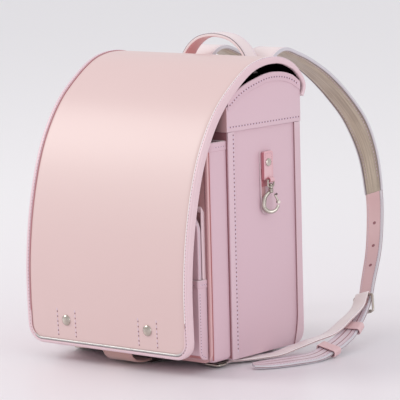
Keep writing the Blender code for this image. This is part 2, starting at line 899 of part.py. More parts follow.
def build_keeper(name, place):
    across = LOWER_WIDTH / 2 + KEEPER_PLAY
    deep = LOWER_THICKNESS / 2 + KEEPER_PLAY
    along = KEEPER_LENGTH / 2
    keeper = box(
        name,
        (-across - KEEPER_WALL, -along, -deep - KEEPER_WALL),
        (across + KEEPER_WALL, along, deep + KEEPER_WALL),
        "trim leather",
    )
    room = box(name + "_room", (-across, -along - 5, -deep), (across, along + 5, deep))
    placed(keeper, place)
    placed(room, place)
    return cut(keeper, room)


def tilted_place(place):
    """The buckle lies across the strap, so that its upper bar is on the inner side."""
    middle, along, across, inwards = place
    turn = Matrix.Rotation(math.radians(BUCKLE_TILT), 3, across)
    return (middle, turn @ along, across, turn @ inwards)


def build_buckle(place):
    """A rectangular frame that the strap runs through, with its prong in a hole."""
    half = LOWER_WIDTH / 2 + BUCKLE_PLAY + BUCKLE_WIRE
    long = BUCKLE_LENGTH / 2 - BUCKLE_WIRE
    outline = rounded(-half, -long, half, long, 2.5, 2.5, 3)
    path = [(x, y, 0) for x, y in outline]
    normal = Vector((0, 0, 1))
    frame = tube("buckle_right", path, normal, BUCKLE_WIRE, "nickel", closed=True, sides=8)
    prong = cylinder("prong", (0, 0, 0), "Y", PRONG_RADIUS, 2 * long, sides=8)
    return join(placed(frame, place), placed(prong, place))


def build_belt(buckle):
    middle, along, bar_across, inwards = buckle
    bar = middle - along * (BUCKLE_LENGTH / 2 - BUCKLE_WIRE)
    reach = BUCKLE_WIRE + 2 * GAP + BELT_THICKNESS / 2
    turns = [math.radians(angle) for angle in BELT_WRAP]
    wrap = [bar + reach * (math.cos(turn) * inwards - math.sin(turn) * along) for turn in turns]
    rows = [*smooth([*BELT_ROUTE, wrap[0]], SPAN_STEPS), *wrap[1:]]
    wrapped = len(BELT_ROUTE) * SPAN_STEPS
    places = []
    for i, point in enumerate(rows):
        along = (rows[min(i + 1, len(rows) - 1)] - rows[max(i - 1, 0)]).normalized()
        across = Vector((1, 0, 0)).lerp(bar_across, min(1.0, i / wrapped) ** 2)
        across = (across - across.dot(along) * along).normalized()
        places.append((point, along, across, along.cross(across)))
    return belt_of("lower_belt_right", places, BELT_WIDTH, BELT_THICKNESS)


def build_underside():
    top = BODY_BOTTOM - GAP
    half = LOCK_WIDTH / 2
    lock_back = LOCK_FRONT + LOCK_DEPTH
    box("bottom_lock", (-half, LOCK_FRONT, 0), (half, lock_back, top), "nickel")

    start = BELT_ROUTE[0]
    back = start[1] - 3 * GAP
    anchor = box(
        "strap_anchor_right",
        (start[0] - ANCHOR_WIDTH / 2, back - ANCHOR_DEPTH, 0),
        (start[0] + ANCHOR_WIDTH / 2, back, top),
        "nickel",
    )
    mirrored(anchor, "strap_anchor_left")
    stud = cylinder("bottom_stud_right", (STUD_SPREAD / 2, STUD_BACK, top / 2), "Z", STUD_RADIUS, top)
    mirrored(stud, "bottom_stud_left")

    def under_flap(height):
        return flap_face(height) + FLAP_THICKNESS + 3 * GAP + LATCH_THICKNESS / 2

    route = (
        # y, z
        (under_flap(78), 78),
        (under_flap(62), 62),
        (-147.0, 42),
        (-142.0, 26),
        (-137.0, 13),
        (-128.0, 6),
        (-116.0, 4),
        (LOCK_FRONT - GAP, 4),
    )
    rows = smooth(route, SPAN_STEPS)
    places = []
    for i, (y, z) in enumerate(rows):
        ahead, behind = rows[min(i + 1, len(rows) - 1)], rows[max(i - 1, 0)]
        along = Vector((0, *(ahead - behind))).normalized()
        across = Vector((1, 0, 0))
        places.append((Vector((0, y, z)), along, across, along.cross(across)))
    belt_of("latch_belt", places, LATCH_WIDTH, LATCH_THICKNESS)


def build_hook_mount():
    near = BODY_WIDTH / 2 + GAP
    half = GUARD_WIDTH / 2
    guard_face = near + GUARD_THICKNESS
    left, right = HOOK_Y - half, HOOK_Y + half
    outline = rounded(left, GUARD_BOTTOM, right, TAB_TOP, half - 0.2, 2.0)
    prism("hook_guard", outline, "X", near, guard_face, "trim leather")

    tab_near = guard_face + GAP
    tab_face = tab_near + TAB_THICKNESS
    outline = rounded(left, TAB_FOLD, right, TAB_TOP, 1.0, 3.0)
    tab = prism("hook_tab", outline, "X", tab_near, tab_face, "trim leather")
    fold_at = (HOOK_AXIS_X, HOOK_Y, TAB_FOLD)
    join(tab, cylinder("tab_fold", fold_at, "Y", FOLD_RADIUS, GUARD_WIDTH - 9.0, sides=20))
    cut(tab, cylinder("tab_eye", fold_at, "Y", RING_WIRE + 0.5, GUARD_WIDTH + 9.0, sides=16))
    ring_room = box(
        "tab_notch",
        (HOOK_AXIS_X - FOLD_RADIUS - 1, HOOK_Y - RING_HALF - RING_WIRE - 0.5, TAB_FOLD - 10),
        (HOOK_AXIS_X + 10, HOOK_Y - GUARD_WIDTH / 2 + 4.4, TAB_FOLD + 2),
    )
    cut(tab, ring_room)

    base = (tab_face + GAP, HOOK_Y + 0.9, HOOK_RIVET_HEIGHT)
    dome("hook_rivet", base, (1, 0, 0), HOOK_RIVET_RADIUS, HOOK_RIVET_RISE)

    low = COLLAR_BOTTOM + COLLAR_HEIGHT / 2
    outline = rounded(-RING_HALF, low, RING_HALF, TAB_FOLD, 2.5, 1.5, 3)
    path = [(HOOK_AXIS_X, HOOK_Y + a, b) for a, b in outline]
    ring = tube("hook_ring", path, Vector((1, 0, 0)), RING_WIRE, "nickel", closed=True, sides=8)
    centre = (HOOK_AXIS_X, HOOK_Y, low)
    join(ring, cylinder("collar", centre, "Z", COLLAR_RADIUS, COLLAR_HEIGHT, sides=20))
    cut(ring, cylinder("collar_bore", centre, "Z", STEM_RADIUS + GAP, COLLAR_HEIGHT * 3, sides=20))


def upright(name, radius, low, high):
    """A cylinder that stands on the hook's own axis."""
    return cylinder(name, (0, 0, (low + high) / 2), "Z", radius, high - low, sides=20)


def build_hook():
    """The snap hook, about the stem that it turns on, and its gate, about the gate's pin."""
    collar_top = COLLAR_BOTTOM + COLLAR_HEIGHT
    opening = 12.0
    left = arc((0, HOOK_CENTRE), HOOK_RADIUS, 160, 340 + opening, 16)
    neck = [(0, SHOULDER_BOTTOM + 2), (-4.2, SHOULDER_BOTTOM - 1.0), (-7.6, SHOULDER_BOTTOM - 5.5)]
    path = [(x, 0, z) for x, z in neck + left[1:]]
    hook = tube("snap_hook", path, Vector((0, 1, 0)), HOOK_WIRE, "nickel", sides=10)

    pivot_x = HOOK_RADIUS * math.cos(math.radians(opening - 20))
    ear = GATE_THICKNESS / 2 + GAP
    side = ear + EAR_THICKNESS
    left, right = pivot_x - EAR_HALF, pivot_x + EAR_HALF
    end_z = GATE_PIVOT - EAR_HALF - GAP
    ear_top = GATE_PIVOT + BARREL_RADIUS
    join(
        hook,
        upright("shoulder", SHOULDER_RADIUS, SHOULDER_BOTTOM, COLLAR_BOTTOM - GAP),
        upright("stem", STEM_RADIUS, SHOULDER_BOTTOM, collar_top + GAP + STEM_HEAD_HEIGHT - 0.3),
        upright("stem_head", STEM_HEAD_RADIUS, collar_top + GAP, collar_top + GAP + STEM_HEAD_HEIGHT),
        box("hook_end", (left, -side, end_z - END_HEIGHT), (right, side, end_z)),
        box("ear_front", (left, -side, end_z - 1), (right, -ear, ear_top)),
        box("ear_back", (left, ear, end_z - 1), (right, side, ear_top)),
    )
    bore = cylinder("ear_bore", (pivot_x, 0, GATE_PIVOT), "Y", PIN_RADIUS + GAP, 3 * side, sides=16)
    cut(hook, bore)

    tip = Vector((GATE_TIP_OUT, 0, SHOULDER_BOTTOM - GATE_TIP_DROP))
    pivot = Vector((pivot_x, 0, GATE_PIVOT))
    centre = Vector((0, 0, 0))
    reach = tip - pivot
    knob = reach + Vector((1.5, 0, 0.2))
    gate = tube("hook_gate", [centre, reach], Vector((0, 1, 0)), GATE_WIRE, "nickel", sides=10)
    join(
        gate,
        cylinder("gate_barrel", centre, "Y", BARREL_RADIUS, GATE_THICKNESS, sides=20),
        cylinder("gate_pin", centre, "Y", PIN_RADIUS, 2 * side, sides=12),
        cylinder("gate_knob", knob, "X", KNOB_RADIUS, KNOB_LENGTH, sides=12),
    )
    turn = Matrix.Rotation(math.radians(HOOK_TURN), 4, "Z")
    stand = Matrix.Translation(Vector((HOOK_AXIS_X, HOOK_Y, 0)) * MM) @ turn
    for obj, place in ((hook, stand), (gate, stand @ Matrix.Translation(pivot * MM))):
        for piece in [obj, *[modifier.object for modifier in obj.modifiers]]:
            piece.matrix_world = place


def centre_on_floor():
    bpy.context.view_layer.update()
    step = Matrix.Translation((0, -DEPTH_CENTRE * MM, 0))
    for obj in [*PARTS.objects, *CUTTERS.objects]:
        obj.matrix_world = step @ obj.matrix_world


clear_scene()
PARTS = collection("school_ransel")
CUTTERS = collection("cutters", hidden=True)
build_main_body()
build_sides()
build_front()
build_flap()
build_back()
build_handle()
build_straps()
build_underside()
build_hook_mount()
build_hook()
centre_on_floor()
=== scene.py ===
# Pink leather school ransel: everything that is seen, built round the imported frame.
import math

import bmesh
import bpy
from mathutils import Matrix, Vector


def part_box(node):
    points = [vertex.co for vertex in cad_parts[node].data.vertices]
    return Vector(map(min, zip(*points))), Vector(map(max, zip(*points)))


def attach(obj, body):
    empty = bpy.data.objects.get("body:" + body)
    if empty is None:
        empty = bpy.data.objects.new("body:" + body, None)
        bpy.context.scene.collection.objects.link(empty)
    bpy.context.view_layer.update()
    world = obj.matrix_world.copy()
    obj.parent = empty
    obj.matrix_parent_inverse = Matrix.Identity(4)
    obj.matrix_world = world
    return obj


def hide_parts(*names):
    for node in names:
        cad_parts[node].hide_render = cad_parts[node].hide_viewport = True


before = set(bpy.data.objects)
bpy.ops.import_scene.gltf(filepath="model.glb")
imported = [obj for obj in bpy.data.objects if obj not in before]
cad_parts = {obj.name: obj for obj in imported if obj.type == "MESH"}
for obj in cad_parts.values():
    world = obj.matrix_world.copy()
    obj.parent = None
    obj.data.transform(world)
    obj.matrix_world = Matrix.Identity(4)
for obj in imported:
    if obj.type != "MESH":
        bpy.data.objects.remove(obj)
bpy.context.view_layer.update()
mm = 0.001
print("frame loaded:", len(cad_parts), "solids")


def deselect():
    if bpy.context.object and bpy.context.object.mode != "OBJECT":
        bpy.ops.object.mode_set(mode="OBJECT")
    bpy.ops.object.select_all(action="DESELECT")


def pick(piece):
    deselect()
    piece.select_set(True)
    bpy.context.view_layer.objects.active = piece


# ---- camera, light and floor

studio = {
    "cameraPlace": (2.05092, -2.49264, 0.61898),
    "turn": 39.70579,
    "down": 7.8413,
    "roll": -1.4604,
    "lens": 241.13,
    "worldColour": (0.86, 0.85, 0.875, 1),
    "worldStrength": 0.95,
    "floorNear": (0.84, 0.80, 0.83, 1),
    "floorFar": (0.90, 0.89, 0.90, 1),
    # name, place, target, size, power, colour
    "lights": (
        ("keyLight", (-2.6, -2.0, 2.3), (0, -0.1, 0.18), (1.9, 1.9), 50, (1.0, 0.965, 0.93)),
        ("fillLight", (2.9, -0.6, 0.8), (0, 0, 0.1), (1.6, 1.6), 13, (0.93, 0.94, 1.0)),
    ),
}


def setCamera():
    deselect()
    turn, down, roll = (math.radians(studio[key]) for key in ("turn", "down", "roll"))
    forward = Vector((-math.sin(turn) * math.cos(down), math.cos(turn) * math.cos(down), -math.sin(down)))
    level = Vector((math.cos(turn), math.sin(turn), 0))
    upright = level.cross(forward)
    right = math.cos(roll) * level + math.sin(roll) * upright
    up = math.cos(roll) * upright - math.sin(roll) * level
    stand = Matrix((right, up, -forward)).transposed().to_4x4()
    stand.translation = studio["cameraPlace"]
    bpy.ops.object.camera_add()
    camera = bpy.context.object
    camera.matrix_world = stand
    camera.data.lens = studio["lens"]
    camera.data.sensor_width = 36
    camera.data.clip_end = 200
    bpy.context.scene.camera = camera


def softLight(name, place, target, size, power, colour):
    deselect()
    bpy.ops.object.light_add(type="AREA", location=place)
    lamp = bpy.context.object
    lamp.name = name
    lamp.data.shape = "RECTANGLE"
    lamp.data.size, lamp.data.size_y = size
    lamp.data.energy = power
    lamp.data.color = colour
    lamp.rotation_euler = (Vector(target) - Vector(place)).to_track_quat("-Z", "Y").to_euler()


# ---- materials: one wire class for sums, one finish class for every other node


class Wire:
    def __init__(self, finish, socket):
        self.finish = finish
        self.socket = socket

    def calc(self, operation, a, b):
        return self.finish.node("ShaderNodeMath", {"operation": operation}, {0: a, 1: b})

    def __add__(self, other):
        return self.calc("ADD", self, other)

    def __radd__(self, other):
        return self.calc("ADD", other, self)

    def __sub__(self, other):
        return self.calc("SUBTRACT", self, other)

    def __rsub__(self, other):
        return self.calc("SUBTRACT", other, self)

    def __mul__(self, other):
        return self.calc("MULTIPLY", self, other)

    def __rmul__(self, other):
        return self.calc("MULTIPLY", other, self)


class Finish:
    def __init__(self, name, **fixed):
        self.material = bpy.data.materials.new(name)
        self.material.use_nodes = True
        self.tree = self.material.node_tree
        self.shader = self.tree.nodes["Principled BSDF"]
        for key, value in fixed.items():
            self.feed(key, value)

    def feed(self, name, value):
        socket = self.shader.inputs[name.replace("_", " ")]
        if isinstance(value, Wire):
            self.tree.links.new(value.socket, socket)
        else:
            socket.default_value = value

    def node(self, kind, settings=None, inputs=None, output=0):
        made = self.tree.nodes.new(kind)
        for key, value in (settings or {}).items():
            if key == "stops":
                for stop, (place, colour) in zip(made.color_ramp.elements, value):
                    stop.position = place
                    stop.color = colour
            else:
                setattr(made, key, value)
        for key, value in (inputs or {}).items():
            if isinstance(value, Wire):
                self.tree.links.new(value.socket, made.inputs[key])
            else:
                made.inputs[key].default_value = value
        return Wire(self, made.outputs[output])

    def spot(self, stretch=(1, 1, 1)):
        where = self.node("ShaderNodeTexCoord", output="Object")
        return self.node("ShaderNodeMapping", None, {"Vector": where, "Scale": stretch})

    def sheetSpot(self, stretch=(1, 1, 1)):
        where = self.node("ShaderNodeTexCoord", output="UV")
        return self.node("ShaderNodeMapping", None, {"Vector": where, "Scale": stretch})

    def part(self, letter):
        where = self.node("ShaderNodeTexCoord", output="Object")
        return self.node("ShaderNodeSeparateXYZ", None, {0: where}, letter)

    def noise(self, where, scale, detail=2.0, rough=0.5):
        sockets = {"Vector": where, "Scale": scale, "Detail": detail, "Roughness": rough}
        return self.node("ShaderNodeTexNoise", None, sockets)

    def cells(self, where, scale, feature="DISTANCE_TO_EDGE"):
        return self.node("ShaderNodeTexVoronoi", {"feature": feature}, {"Vector": where, "Scale": scale})

    def mix(self, first, second, share):
        return self.node("ShaderNodeMix", {"data_type": "RGBA"}, {0: share, 6: first, 7: second}, 2)

    def fade(self, value, low, high):
        smooth = {"interpolation_type": "SMOOTHSTEP"}
        return self.node("ShaderNodeMapRange", smooth, {0: value, 1: low, 2: high})

    def relief(self, height, strength, distance):
        sockets = {"Height": height, "Strength": strength, "Distance": distance}
        self.feed("Normal", self.node("ShaderNodeBump", None, sockets))


def edgeGlow(finish):
    # lighter rims where leather is stretched over an edge
    point = finish.node("ShaderNodeNewGeometry", output="Pointiness")
    return finish.fade(point, 0.51, 0.62)


def leather(name, light, deep, rough=0.40, coat=0.25, pore=1.0, relief=0.35, drift=0.55):
    finish = Finish(name, Coat_Weight=coat, Coat_Roughness=0.22, Specular_IOR_Level=0.45)
    where = finish.spot()
    clouds = finish.noise(where, 7.0, 2.0)
    speck = finish.noise(where, 520.0 / pore, 3.0, 0.6)
    pores = finish.cells(where, 900.0 / pore)
    tone = clouds * drift + speck * (1 - drift) * 0.8
    body = finish.mix((*light, 1), (*deep, 1), tone)
    pale = tuple(min(1.0, 0.6 * part + 0.4) for part in light)
    finish.feed("Base Color", finish.mix(body, (*pale, 1), edgeGlow(finish) * 0.35))
    finish.feed("Roughness", speck * 0.14 + clouds * 0.06 + (rough - 0.10))
    finish.relief(pores * 0.5 + speck * 0.5, relief, 0.00012)
    return finish


def flapLeather():
    # pearly, with a painted highlight: a warm pale band across the middle height, and mauve towards the ends
    finish = Finish("flapLeather", Coat_Weight=0.14, Coat_Roughness=0.35, Specular_IOR_Level=0.4)
    where = finish.spot()
    clouds = finish.noise(where, 5.0, 2.0)
    speck = finish.noise(where, 640.0, 3.0, 0.6)
    pores = finish.cells(where, 1050.0)
    height = finish.part("Z") + clouds * 0.02
    # painted highlight: the flap is paler and warmer across the middle height
    paintedSheen = finish.fade(height, 0.12, 0.27) * (1 - finish.fade(height, 0.27, 0.345))
    pink = finish.mix((0.765, 0.580, 0.560, 1), (0.725, 0.535, 0.520, 1), clouds * 0.6 + speck * 0.4)
    finish.feed("Base Color", finish.mix(pink, (0.800, 0.655, 0.615, 1), paintedSheen * 0.4))
    finish.feed("Roughness", speck * 0.10 + clouds * 0.05 + 0.30)
    finish.relief(pores * 0.45 + speck * 0.55, 0.22, 0.00010)
    return finish


def suede(name, light, deep):
    finish = Finish(name, Roughness=0.92, Specular_IOR_Level=0.2, Sheen_Weight=0.35, Sheen_Roughness=0.5)
    where = finish.spot()
    nap = finish.noise(where, 900.0, 4.0, 0.7)
    patches = finish.noise(where, 28.0, 3.0)
    finish.feed("Base Color", finish.mix((*light, 1), (*deep, 1), nap * 0.5 + patches * 0.5))
    finish.relief(nap, 0.4, 0.0002)
    return finish


def paintedShade():
    # painted shade: near black for the unlit inside of the bag and other places in deep shade
    finish = Finish("paintedShade", Specular_IOR_Level=0.05)
    weave = finish.noise(finish.spot(), 500.0, 3.0)
    finish.feed("Base Color", finish.mix((0.014, 0.007, 0.007, 1), (0.006, 0.003, 0.003, 1), weave))
    finish.feed("Roughness", weave * 0.1 + 0.85)
    finish.relief(weave, 0.3, 0.0002)
    return finish


def satinLining():
    finish = Finish("satinLining", Specular_IOR_Level=0.4, Sheen_Weight=0.3, Sheen_Roughness=0.35)
    # the weave and its streaks follow the sheet, the patches follow the place
    bands = {"Vector": finish.sheetSpot(), "Scale": 90.0, "Distortion": 0.6}
    weave = finish.node("ShaderNodeTexWave", {"bands_direction": "Y"}, bands, "Fac")
    streaks = finish.noise(finish.sheetSpot((16, 3, 1)), 2.0, 4.0, 0.6)
    patches = finish.noise(finish.spot(), 22.0, 3.0, 0.55)
    # painted sheen and shade: light and dark streaks along the sheet stand in for its folds
    ribs = finish.fade(streaks * 0.7 + patches * 0.3, 0.36, 0.62)
    base = finish.mix((0.66, 0.58, 0.46, 1), (0.40, 0.32, 0.24, 1), ribs)
    finish.feed("Base Color", finish.mix(base, (0.66, 0.61, 0.53, 1), weave * 0.35))
    finish.feed("Roughness", streaks * 0.2 + 0.38)
    finish.relief(weave * 0.6 + streaks, 0.25, 0.0002)
    return finish


def meshLining():
    # spacer mesh of the back pad: small staggered holes
    finish = Finish("meshLining", Roughness=0.8, Specular_IOR_Level=0.25, Sheen_Weight=0.25)
    where = finish.spot((1, 0, 1))
    grid = {"Vector": where, "Scale": 380.0, "Randomness": 0.12}
    holes = finish.node("ShaderNodeTexVoronoi", {"feature": "F1"}, grid)
    patches = finish.noise(where, 14.0, 3.0)
    eye = 1 - finish.fade(holes, 0.18, 0.42)
    base = finish.mix((0.68, 0.57, 0.49, 1), (0.60, 0.49, 0.42, 1), patches)
    finish.feed("Base Color", finish.mix(base, (0.36, 0.27, 0.22, 1), eye * 0.7))
    finish.relief(1 - eye, 0.4, 0.0004)
    return finish


def sewingThread(name, light, deep):
    finish = Finish(name, Specular_IOR_Level=0.35, Sheen_Weight=0.2)
    where = finish.spot()
    twist = finish.noise(where, 1800.0, 2.0)
    finish.feed("Base Color", finish.mix((*light, 1), (*deep, 1), twist))
    finish.feed("Roughness", twist * 0.2 + 0.5)
    finish.relief(twist, 0.5, 0.0001)
    return finish


def nickelPlate():
    finish = Finish("nickelPlate", Metallic=1.0, Specular_IOR_Level=0.5)
    where = finish.spot()
    smears = finish.noise(where, 70.0, 2.0)
    scratches = finish.noise(finish.spot((1, 1, 9)), 900.0, 2.0)
    tarnish = finish.fade(smears, 0.30, 0.72)
    finish.feed("Base Color", finish.mix((0.66, 0.61, 0.54, 1), (0.40, 0.36, 0.31, 1), tarnish))
    finish.feed("Roughness", smears * 0.14 + scratches * 0.06 + 0.06)
    finish.relief(scratches * 0.4 + smears * 0.6, 0.12, 0.0001)
    return finish


def darkMetal():
    # painted shade: nickel darkened for the parts under the bag and for the gate's barrel and knob
    finish = Finish("darkMetal", Metallic=1.0)
    smears = finish.noise(finish.spot(), 140.0, 3.0)
    finish.feed("Base Color", finish.mix((0.20, 0.16, 0.15, 1), (0.09, 0.07, 0.065, 1), smears))
    finish.feed("Roughness", smears * 0.2 + 0.30)
    return finish


def silverTape():
    # reflective only along the flap's lower edge; its ends run out in pink
    finish = Finish("silverTape", Specular_IOR_Level=0.6, Coat_Weight=0.4)
    cells = finish.cells(finish.spot(), 700.0)
    out = finish.part("X")
    reach = finish.fade(out * out, 0.108**2, 0.119**2)
    silver = finish.mix((0.36, 0.36, 0.35, 1), (0.60, 0.60, 0.58, 1), finish.fade(cells, 0.0, 0.12))
    finish.feed("Base Color", finish.mix(silver, (0.80, 0.60, 0.62, 1), reach))
    finish.feed("Metallic", 0.55 - reach * 0.55)
    finish.feed("Roughness", reach * 0.15 + 0.28)
    finish.relief(cells, 0.3, 0.0001)
    return finish


# key: name, light colour, deep colour, and what differs from plain leather
leathers = {
    "side": ("sideLeather", (0.750, 0.528, 0.585), (0.702, 0.485, 0.542), {"rough": 0.42, "coat": 0.3}),
    "hem": (
        "hemLeather", (0.850, 0.640, 0.660), (0.770, 0.560, 0.600),
        {"coat": 0.35, "pore": 1.5, "relief": 0.6},
    ),
    "strap": (
        "strapLeather", (0.800, 0.555, 0.560), (0.720, 0.470, 0.480),
        {"rough": 0.44, "pore": 1.4, "relief": 0.5},
    ),
    "cream": ("creamLeather", (0.900, 0.790, 0.780), (0.840, 0.700, 0.700), {"pore": 1.3}),
    # painted shade in red, for faces in the shade between parts
    "redShade": (
        "redShadeLeather", (0.640, 0.350, 0.360), (0.560, 0.280, 0.290),
        {"rough": 0.46, "coat": 0.2, "pore": 1.3},
    ),
    "edge": (
        "edgePaint", (0.330, 0.110, 0.130), (0.240, 0.070, 0.090),
        {"rough": 0.38, "coat": 0.3, "relief": 0.2},
    ),
    "binding": (
        "bindingLeather", (0.720, 0.510, 0.555), (0.665, 0.465, 0.510),
        {"coat": 0.3, "pore": 1.4},
    ),
    "board": ("boardEdge", (0.76, 0.47, 0.47), (0.68, 0.38, 0.39), {"rough": 0.46, "coat": 0.2}),
    "tab": (
        "tabLeather", (0.800, 0.480, 0.510), (0.740, 0.400, 0.440),
        {"rough": 0.42, "coat": 0.3, "relief": 0.5},
    ),
    "redEdge": (
        "redEdge", (0.560, 0.190, 0.220), (0.470, 0.130, 0.160),
        {"rough": 0.42, "coat": 0.3, "relief": 0.3},
    ),
    "pearl": (
        "pearlEdge", (0.710, 0.680, 0.715), (0.600, 0.570, 0.605),
        {"rough": 0.32, "coat": 0.5, "relief": 0.2},
    ),
    "ivory": (
        "ivoryLeather", (0.950, 0.870, 0.850), (0.880, 0.790, 0.770),
        {"rough": 0.38, "coat": 0.3, "pore": 1.3},
    ),
    "coral": (
        "coralLeather", (0.840, 0.410, 0.400), (0.760, 0.340, 0.340),
        {"rough": 0.42, "coat": 0.3, "pore": 1.3},
    ),
    "lavender": (
        "lavenderLeather", (0.780, 0.660, 0.700), (0.700, 0.570, 0.620),
        {"rough": 0.36, "coat": 0.4, "pore": 1.4},
    ),
    "greyEdge": (
        "greyEdge", (0.240, 0.185, 0.200), (0.170, 0.125, 0.140),
        {"rough": 0.36, "coat": 0.4, "relief": 0.2},
    ),
}
suedes = {
    "prick": ("needlePrick", (0.300, 0.130, 0.170), (0.220, 0.090, 0.120)),
    "inner": ("innerLeather", (0.560, 0.220, 0.220), (0.430, 0.150, 0.150)),
    "latch": ("latchShadeSuede", (0.640, 0.410, 0.370), (0.540, 0.330, 0.300)),
}
threads = {
    "thread": ("paleThread", (0.82, 0.70, 0.80), (0.70, 0.56, 0.68)),
    "darkThread": ("mauveThread", (0.60, 0.36, 0.42), (0.46, 0.26, 0.32)),
}
paint = {}


def mixFinishes():
    for key, (name, light, deep, options) in leathers.items():
        paint[key] = leather(name, light, deep, **options)
    for key, colours in suedes.items():
        paint[key] = suede(*colours)
    for key, colours in threads.items():
        paint[key] = sewingThread(*colours)
    paint.update(flap=flapLeather(), dark=paintedShade(), satin=satinLining(), mesh=meshLining())
    paint.update(nickel=nickelPlate(), gunmetal=darkMetal(), tape=silverTape())


# ---- shared ways of making a piece


def smoothed(rows, steps):
    # Catmull-Rom through the rows
    rows = [Vector(row) for row in rows]
    ends = [2 * rows[0] - rows[1], *rows, 2 * rows[-1] - rows[-2]]
    found = []
    for a, b, c, d in zip(ends, ends[1:], ends[2:], ends[3:]):
        for k in range(steps):
            t = k / steps
            square = (2 * a - 5 * b + 4 * c - d) * t**2
            cube = (3 * b - a - 3 * c + d) * t**3
            found.append((2 * b + (c - a) * t + square + cube) / 2)
    return [*found, rows[-1]]


def arc(centre, radius, start, end, steps=8):
    angles = [math.radians(start + (end - start) * k / steps) for k in range(steps + 1)]
    return [(centre[0] + radius * math.cos(a), centre[1] + radius * math.sin(a)) for a in angles]


def evenly(points, pitch):
    # the same line with its points this far apart
    points = [Vector(point) for point in points]
    gaps = [(b - a).length for a, b in zip(points, points[1:])]
    count = max(1, round(sum(gaps) / pitch))
    step = sum(gaps) / count
    found, index, done = [points[0]], 0, 0.0
    for k in range(1, count):
        while index < len(gaps) - 1 and done + gaps[index] < k * step:
            done += gaps[index]
            index += 1
        found.append(points[index].lerp(points[index + 1], (k * step - done) / gaps[index]))
    return [*found, points[-1]]


def gridPiece(name, rows, tube=False, capped=False):
    # a grid whose points are pulled to these rows; a tube's first and last columns meet
    deselect()
    bpy.ops.mesh.primitive_grid_add(x_subdivisions=len(rows[0]) - 1, y_subdivisions=len(rows) - 1, size=1)
    piece = bpy.context.object
    piece.name = piece.data.name = name
    points = [value * mm for row in rows for point in row for value in point]
    piece.data.vertices.foreach_set("co", points)
    bpy.ops.object.mode_set(mode="EDIT")
    bpy.ops.mesh.select_all(action="SELECT")
    bpy.ops.mesh.remove_doubles(threshold=2e-6)
    if capped:
        bpy.ops.mesh.select_all(action="DESELECT")
        bpy.ops.mesh.select_non_manifold()
        bpy.ops.mesh.fill_holes(sides=0)
    bpy.ops.mesh.select_all(action="SELECT")
    if tube:
        bpy.ops.mesh.normals_make_consistent(inside=False)
    bpy.ops.object.mode_set(mode="OBJECT")
    return piece


def sweep(name, places, section, capped=True):
    # section(i) gives the (across, inwards) outline at each place
    rows = []
    for i, (middle, across, inwards) in enumerate(places):
        outline = section(i)
        rows.append([middle + across * u + inwards * v for u, v in [*outline, outline[0]]])
    return gridPiece(name, rows, tube=True, capped=capped)


def held(value, limit):
    return max(-limit, min(limit, value))


def roundedBox(halfU, halfV, radius, steps):
    # outline of a rectangle with round corners
    outline = []
    for u, v, start in ((1, 1, 0), (-1, 1, 90), (-1, -1, 180), (1, -1, 270)):
        outline += arc((u * (halfU - radius), v * (halfV - radius)), radius, start, start + 90, steps)
    return outline


def band(width, low, high, radius=0.8, steps=3):
    # rounded outline of a strap, low and high being its two faces
    half = width / 2
    radius = min(radius, (high - low) / 2)
    corners = ((half - radius, low + radius, 270), (half - radius, high - radius, 0))
    corners += ((radius - half, high - radius, 90), (radius - half, low + radius, 180))
    outline = []
    for u, v, start in corners:
        outline += arc((u, v), radius, start, start + 90, steps)
    return outline


def wire(name, path, radius, normal, closed=False, sides=14, flat=1.0):
    # a round wire through a path that lies square to the normal
    path = [Vector(point) for point in path]
    if closed:
        path.append(path[0])
    normal = Vector(normal)
    last = len(path) - 1
    rows = []
    for i, point in enumerate(path):
        before = path[i - 1] if i else (path[last - 1] if closed else path[0])
        after = path[i + 1] if i < last else (path[1] if closed else path[last])
        along = (after - before).normalized()
        side = along.cross(normal).normalized()
        up = side.cross(along)
        r = radius(i / last) if callable(radius) else radius
        turns = [2 * math.pi * k / sides for k in range(sides)]
        ring = [point + side * (r * math.cos(t)) + up * (r * flat * math.sin(t)) for t in turns]
        rows.append([*ring, ring[0]])
    return gridPiece(name, rows, tube=True, capped=not closed)


def turned(name, profile, base, axis, sides=40):
    # a turned piece: profile rows of (radius, height) from the base along the axis
    axis = Vector(axis).normalized()
    side = axis.orthogonal().normalized()
    other = axis.cross(side)
    rows = []
    for radius, height in profile:
        ring = []
        for k in range(sides + 1):
            turn = 2 * math.pi * (k % sides) / sides
            way = side * math.cos(turn) + other * math.sin(turn)
            ring.append(Vector(base) + axis * height + way * radius)
        rows.append(ring)
    return gridPiece(name, rows, tube=True, capped=True)


def copyOf(node, name, roundness, segments=2, angle=35):
    # the solid with its triangles merged and its edges rounded
    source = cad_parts[node]
    piece = source.copy()
    piece.data = source.data.copy()
    for key in list(piece.keys()):
        del piece[key]
    piece.parent = None
    piece.name = piece.data.name = name
    piece.data.materials.clear()
    bpy.context.scene.collection.objects.link(piece)
    pick(piece)
    bpy.ops.object.mode_set(mode="EDIT")
    bpy.ops.mesh.select_all(action="SELECT")
    bpy.ops.mesh.remove_doubles(threshold=2e-6)
    bpy.ops.mesh.dissolve_limited(angle_limit=math.radians(0.8))
    bpy.ops.object.mode_set(mode="OBJECT")
    if roundness:
        rounding = piece.modifiers.new("edges", "BEVEL")
        rounding.width = roundness * mm
        rounding.segments = segments
        rounding.limit_method = "ANGLE"
        rounding.angle_limit = math.radians(angle)
        rounding.harden_normals = False
        bpy.ops.object.modifier_apply(modifier=rounding.name)
    return piece


def otherSide(piece, name):
    twin = piece.copy()
    twin.data = piece.data.copy()
    for key in list(twin.keys()):
        del twin[key]
    twin.parent = None
    twin.name = twin.data.name = name
    twin.data.transform(Matrix.Scale(-1, 4, (1, 0, 0)))
    twin.data.flip_normals()
    bpy.context.scene.collection.objects.link(twin)
    return twin


def coat(piece, *finishes):
    for finish in finishes:
        piece.data.materials.append(paint[finish].material)


